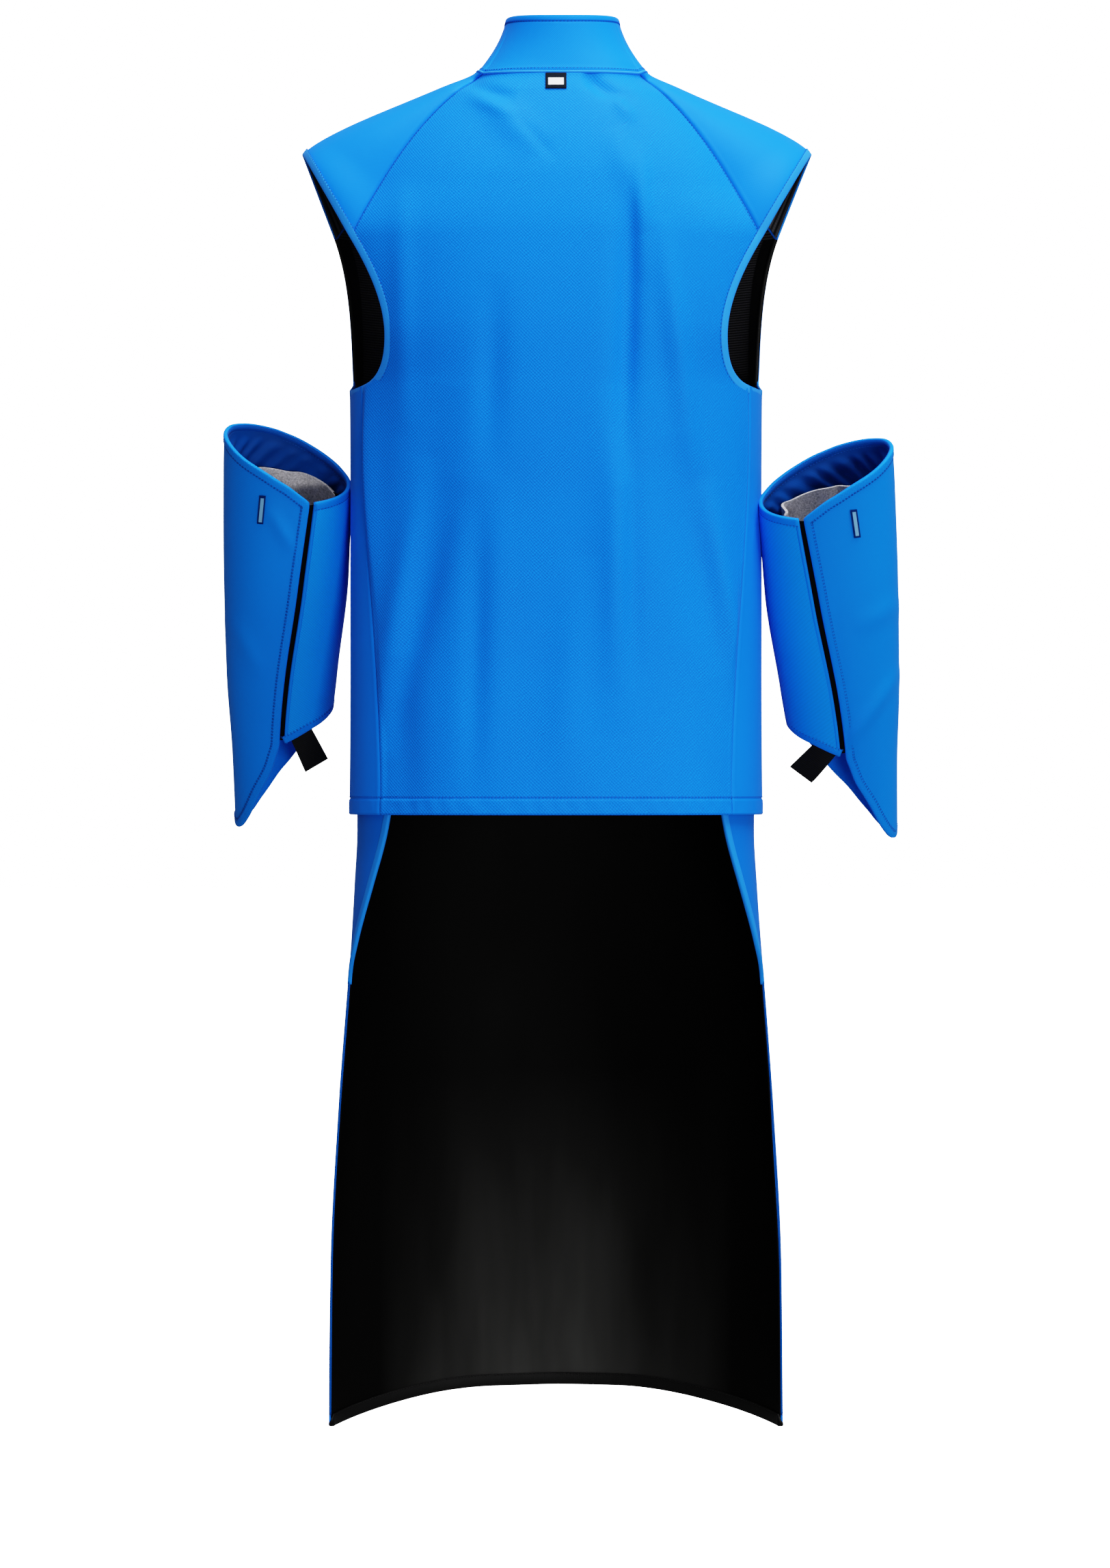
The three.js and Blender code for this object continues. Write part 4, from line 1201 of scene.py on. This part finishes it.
# Seams of each half: closed from inside, with stitches beside them
SEAM_BEADS = Values(raglan=1.5, side=0.8, depth=0.55)
for side, way in WAYS.items():
    seams = {
        "raglan_back": side_edge(BACK_PANEL, way, np.linspace(BACK_HIGH, 1, 90)),
        "raglan_front": side_edge(FRONT_PANEL, -way, np.linspace(FRONT_HIGH, 1, 90)),
        "side_back": side_edge(BACK_PANEL, way, np.linspace(0, BACK_LOW, 120)),
        "side_front": side_edge(FRONT_PANEL, -way, np.linspace(0, FRONT_LOW, 120)),
    }
    for name, seam in seams.items():
        thick = SEAM_BEADS.raglan if name.startswith("raglan") else SEAM_BEADS.side
        bead = round_bead(thick, 0, -SEAM_BEADS.depth - thick, sides=8)
        swept(f"{name}_seam_{side}", even([seam], LONG_STEP), bead, SEAM_TAPE)
    stitched(f"raglan_stitches_{side}", [(seams[f"raglan_{end}"], 2, 0.3) for end in ("back", "front")],
             DARK_THREAD)

    # Armhole: band round its edge, and the black edge of the facing inside the front
    edge_back = side_edge(BACK_PANEL, way, np.linspace(BACK_LOW, BACK_HIGH, 60))
    edge_cap = cross_edge(CAPS[side], np.linspace(-way, way, 80), 0, 0.03)
    edge_front = side_edge(FRONT_PANEL, -way, np.linspace(FRONT_HIGH, FRONT_LOW, 60))
    edge_under = cross_edge(FLANKS[side], np.linspace(way, -way, 30), 1, 0.98)
    armhole = even([edge_back, edge_cap, edge_front, edge_under], TRIM_STEP, closed=True, soften=6)
    swept(f"armhole_band_{side}", armhole, wrap(outer=7.3, inner=1, wall=BACK_CLOTH, proud=0.5), TRIM_TWILL)
    stitched(f"armhole_stitches_{side}", [(armhole, 7.9, 0.25)], DARK_THREAD)
    swept(f"armhole_inner_edge_{side}", even([edge_front], TRIM_STEP), FACING_EDGE, BLACK_TAPE)

# Hem stitches
hem = np.linspace(-0.995, 0.995, 120)
hem_rows = [cross_edge(surface, hem, 0, 0.02) for surface in (BACK_PANEL, FRONT_PANEL, *FLANKS.values())]
stitched("hem_stitches", [(row, HEM.stitch, 0.45) for row in hem_rows], DARK_THREAD)

# Apron: turned edges that narrow below the wings, and the black binding of its hem
WING = Values(fold=0.66, stitches=0.68, narrow=-935, full=-880, least=0.2)
PIPING_ENDS = (0.016, 0.665)
for side, way in WAYS.items():
    wing_edge = even([side_edge(apron_surface, -way, np.linspace(WING.fold, 1, 80))], LONG_STEP, soften=2)
    reach = np.interp(wing_edge.place[:, 2], (WING.narrow, WING.full), (WING.least, 1))
    swept(f"apron_edge_fold_{side}", wing_edge, wrap(outer=6, inner=9, wall=APRON_WALL, proud=0.5),
          APRON_TRIM, reach)
    climb = np.linspace(*PIPING_ENDS, 140)
    low_edge = even([side_edge(apron_surface, -way, climb)], LONG_STEP, soften=2)
    # The piping's dark blue is painted shade.
    swept(f"apron_edge_piping_{side}", low_edge, wrap(outer=1.6, inner=1.2, wall=APRON_CLOTH, proud=0.2),
          SHADED_APRON_PIPING)
    wing = side_edge(apron_surface, -way, np.linspace(WING.stitches, 1, 80))
    stitched(f"apron_edge_stitches_{side}", [(wing, 8.2, -APRON_WALL - 0.5)], APRON_THREAD)
apron_hem = even([cross_edge(apron_surface, np.linspace(-1, 1, 240), 0, 0.02)], LONG_STEP, soften=2)
hem_wall = APRON_TAPE_DEPTH + APRON_HEM_TAPE.thickness
swept("apron_hem_binding", apron_hem, wrap(outer=3.5, inner=12, wall=hem_wall, proud=0.5), BLACK_TAPE)
stitched("apron_hem_stitches", [(apron_hem, 11, -APRON_TAPE_DEPTH - 1.7)], BLACK_THREAD)

# Guards: a band round the rim, the outer edge of the slit and the lower edge, a rolled flap and the stitches
for side, way in WAYS.items():
    shell = SHELLS[side]
    around = np.linspace(-way, way, 200)
    fall = np.linspace(1, 0, 140)
    rim = cross_edge(shell, around, 1, 0.97)
    low = cross_edge(shell, around[::-1], 0, 0.03)
    border = even([low, side_edge(shell, -way, fall[::-1]), rim], TRIM_STEP, soften=3)
    flap_edge = even([side_edge(shell, way, fall)], TRIM_STEP, soften=2)
    swept(f"guard_band_{side}", border, wrap(outer=7.6, inner=1.6, wall=GUARD_CLOTH, proud=0.55), GUARD_TRIM)
    # The band inside the rim is painted darker, for shade.
    swept(f"guard_inner_band_{side}", even([rim], TRIM_STEP, soften=3), RIM_INSIDE, SHADED_RIM_TWILL)
    swept(f"guard_flap_roll_{side}", flap_edge, wrap(outer=2.6, inner=2, wall=GUARD_CLOTH, proud=0.4),
          GUARD_TWILL)
    sewn = [(border, 6.9, 0.6), (border, 8.2, 0.15), (rim, 7.2, -GUARD_CLOTH - 0.9)]
    stitched(f"guard_stitches_{side}", sewn, GUARD_THREAD)


def declare(name, held, rests_on, trims=""):
    """Looks up each trim sewn to a sheet of cloth; the sheet's own name, how it is held and what it rests on
    are not used.
    """
    rests_on.split()
    [bpy.data.objects[trim] for trim in trims.split()]


# Sheets: how each is held, what it rests on and the trims sewn to it; a star stands for right or left
apron_trims = [f"apron_edge_{kind}_{side}" for kind in ("fold", "piping", "stitches") for side in WAYS]
SHEETS = (
    ("back_cloth", "hung", "shoulder_cap_right shoulder_cap_left", "neck_tab neck_piping hem_stitches"),
    ("front_cloth", "hung", "shoulder_cap_right shoulder_cap_left"),
    ("front_mesh_lining", "laid", "front_cloth"),
    ("stand_collar", "folded", "back_cloth front_cloth", "collar_top_roll collar_stitches"),
    ("collar_overlap", "laid", "stand_collar"),
    ("apron_cloth_outer", "hung", "front_cloth", " ".join(apron_trims)),
    ("apron_satin_lining", "laid", "apron_cloth_outer"),
    ("apron_hem_band", "laid", "apron_satin_lining", "apron_hem_binding apron_hem_stitches"),
)
SIDE_SHEETS = (
    ("side_cloth_*", "hung", "back_cloth front_cloth", "side_back_seam_* side_front_seam_*"),
    ("shoulder_cap_*", "hung", "stand_collar",
     "raglan_back_seam_* raglan_front_seam_* raglan_stitches_* armhole_band_* armhole_stitches_*"),
    ("shoulder_lining_*", "laid", "shoulder_cap_*"),
    ("armhole_facing_*", "laid", "front_mesh_lining", "armhole_inner_edge_*"),
    ("guard_cloth_*", "hung", "side_cloth_*",
     "guard_tab_* guard_band_* guard_inner_band_* guard_flap_roll_* guard_stitches_*"),
    ("guard_flap_*", "laid", "guard_cloth_*"),
    ("guard_inner_*", "laid", "guard_cloth_*"),
    ("guard_felt_*", "laid", "guard_inner_*"),
    ("guard_hook_strip_*", "laid", "guard_cloth_*"),
    ("guard_webbing_*", "hung", "guard_hook_strip_*"),
)
for sheet in SHEETS:
    declare(*sheet)
for side in WAYS:
    for sheet in SIDE_SHEETS:
        declare(*(words.replace("*", side) for words in sheet))
declare("guard_black_patch_left", "laid", "guard_inner_left")

# Camera, at the photograph's angle: level, at the height of the middle of the frame
camera_data = bpy.data.cameras.new("camera")
camera_data.lens = 103.5
camera_data.sensor_width = 36
camera = linked("camera", camera_data)
camera.location = (-0.001, -4.6, -0.728)
camera.rotation_euler = (math.pi / 2, 0, 0)
bpy.context.scene.camera = camera

# Floor: plain and white, seen by the camera only, so that it doesn't light the cloth from below
FLOOR = Values(half=30, level=-1.53)
floor_bm = bmesh.new()
bmesh.ops.create_grid(floor_bm, x_segments=1, y_segments=1, size=FLOOR.half)
bmesh.ops.translate(floor_bm, verts=floor_bm.verts[:], vec=(0, 0, FLOOR.level))
floor_paint = Finish("floor_white", None)
floor_paint.done(Base_Color=grey(0.9), Roughness=0.8, Emission_Color=WHITE, Emission_Strength=1.0)
floor = mesh_object("floor", floor_bm, floor_paint)
floor.visible_diffuse = False
floor.visible_glossy = False
floor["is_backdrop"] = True


def softbox(name, place, aim, size, power):
    """Square soft white light, turned to what it lights."""
    lamp = bpy.data.lights.new(name, "AREA")
    lamp.size = size
    lamp.energy = power
    light = linked(name, lamp)
    light.location = place
    light.rotation_euler = (Vector(aim) - Vector(place)).to_track_quat("-Z", "Y").to_euler()


softbox("key", (1.5, -1.75, 2.6), (0, 0, -0.5), size=1.6, power=26)
softbox("top", (0.1, -0.7, 2.6), (0, 0, -0.4), size=1.8, power=28)
softbox("low_key", (1.0, -3.6, -1.6), (0, 0, -0.7), size=0.9, power=39)
softbox("side", (2.5, -1.8, -0.6), (0, -0.1, -0.7), size=0.8, power=3.5)

# World: white to the camera, a dim fill to the cloth
world = bpy.data.worlds.new("studio")
bpy.context.scene.world = world
world.use_nodes = True
sky = world.node_tree
fill = sky.nodes["Background"]
paper = sky.nodes.new("ShaderNodeBackground")
for background, strength in ((fill, 0.075), (paper, 1.0)):
    background.inputs["Color"].default_value = WHITE
    background.inputs["Strength"].default_value = strength
choice = sky.nodes.new("ShaderNodeMixShader")
path = sky.nodes.new("ShaderNodeLightPath")
sky.links.new(path.outputs["Is Camera Ray"], choice.inputs[0])
sky.links.new(fill.outputs[0], choice.inputs[1])
sky.links.new(paper.outputs[0], choice.inputs[2])
sky.links.new(choice.outputs[0], sky.nodes["World Output"].inputs["Surface"])

# Tone curve as in the photograph: steep in the shade and soft in the lights
TONE = Values(power=1.5, half=0.053, curve=3, count=18)
view = bpy.context.scene.view_settings
view.view_transform = "Standard"
view.use_curve_mapping = True
tone_curve = view.curve_mapping.curves[TONE.curve]
for level in np.linspace(0, 1, TONE.count)[1:-1] ** 2:
    shown = (1 + TONE.half) * level ** TONE.power / (level ** TONE.power + TONE.half)
    tone_curve.points.new(float(level), float(shown))
view.curve_mapping.update()

low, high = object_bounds()
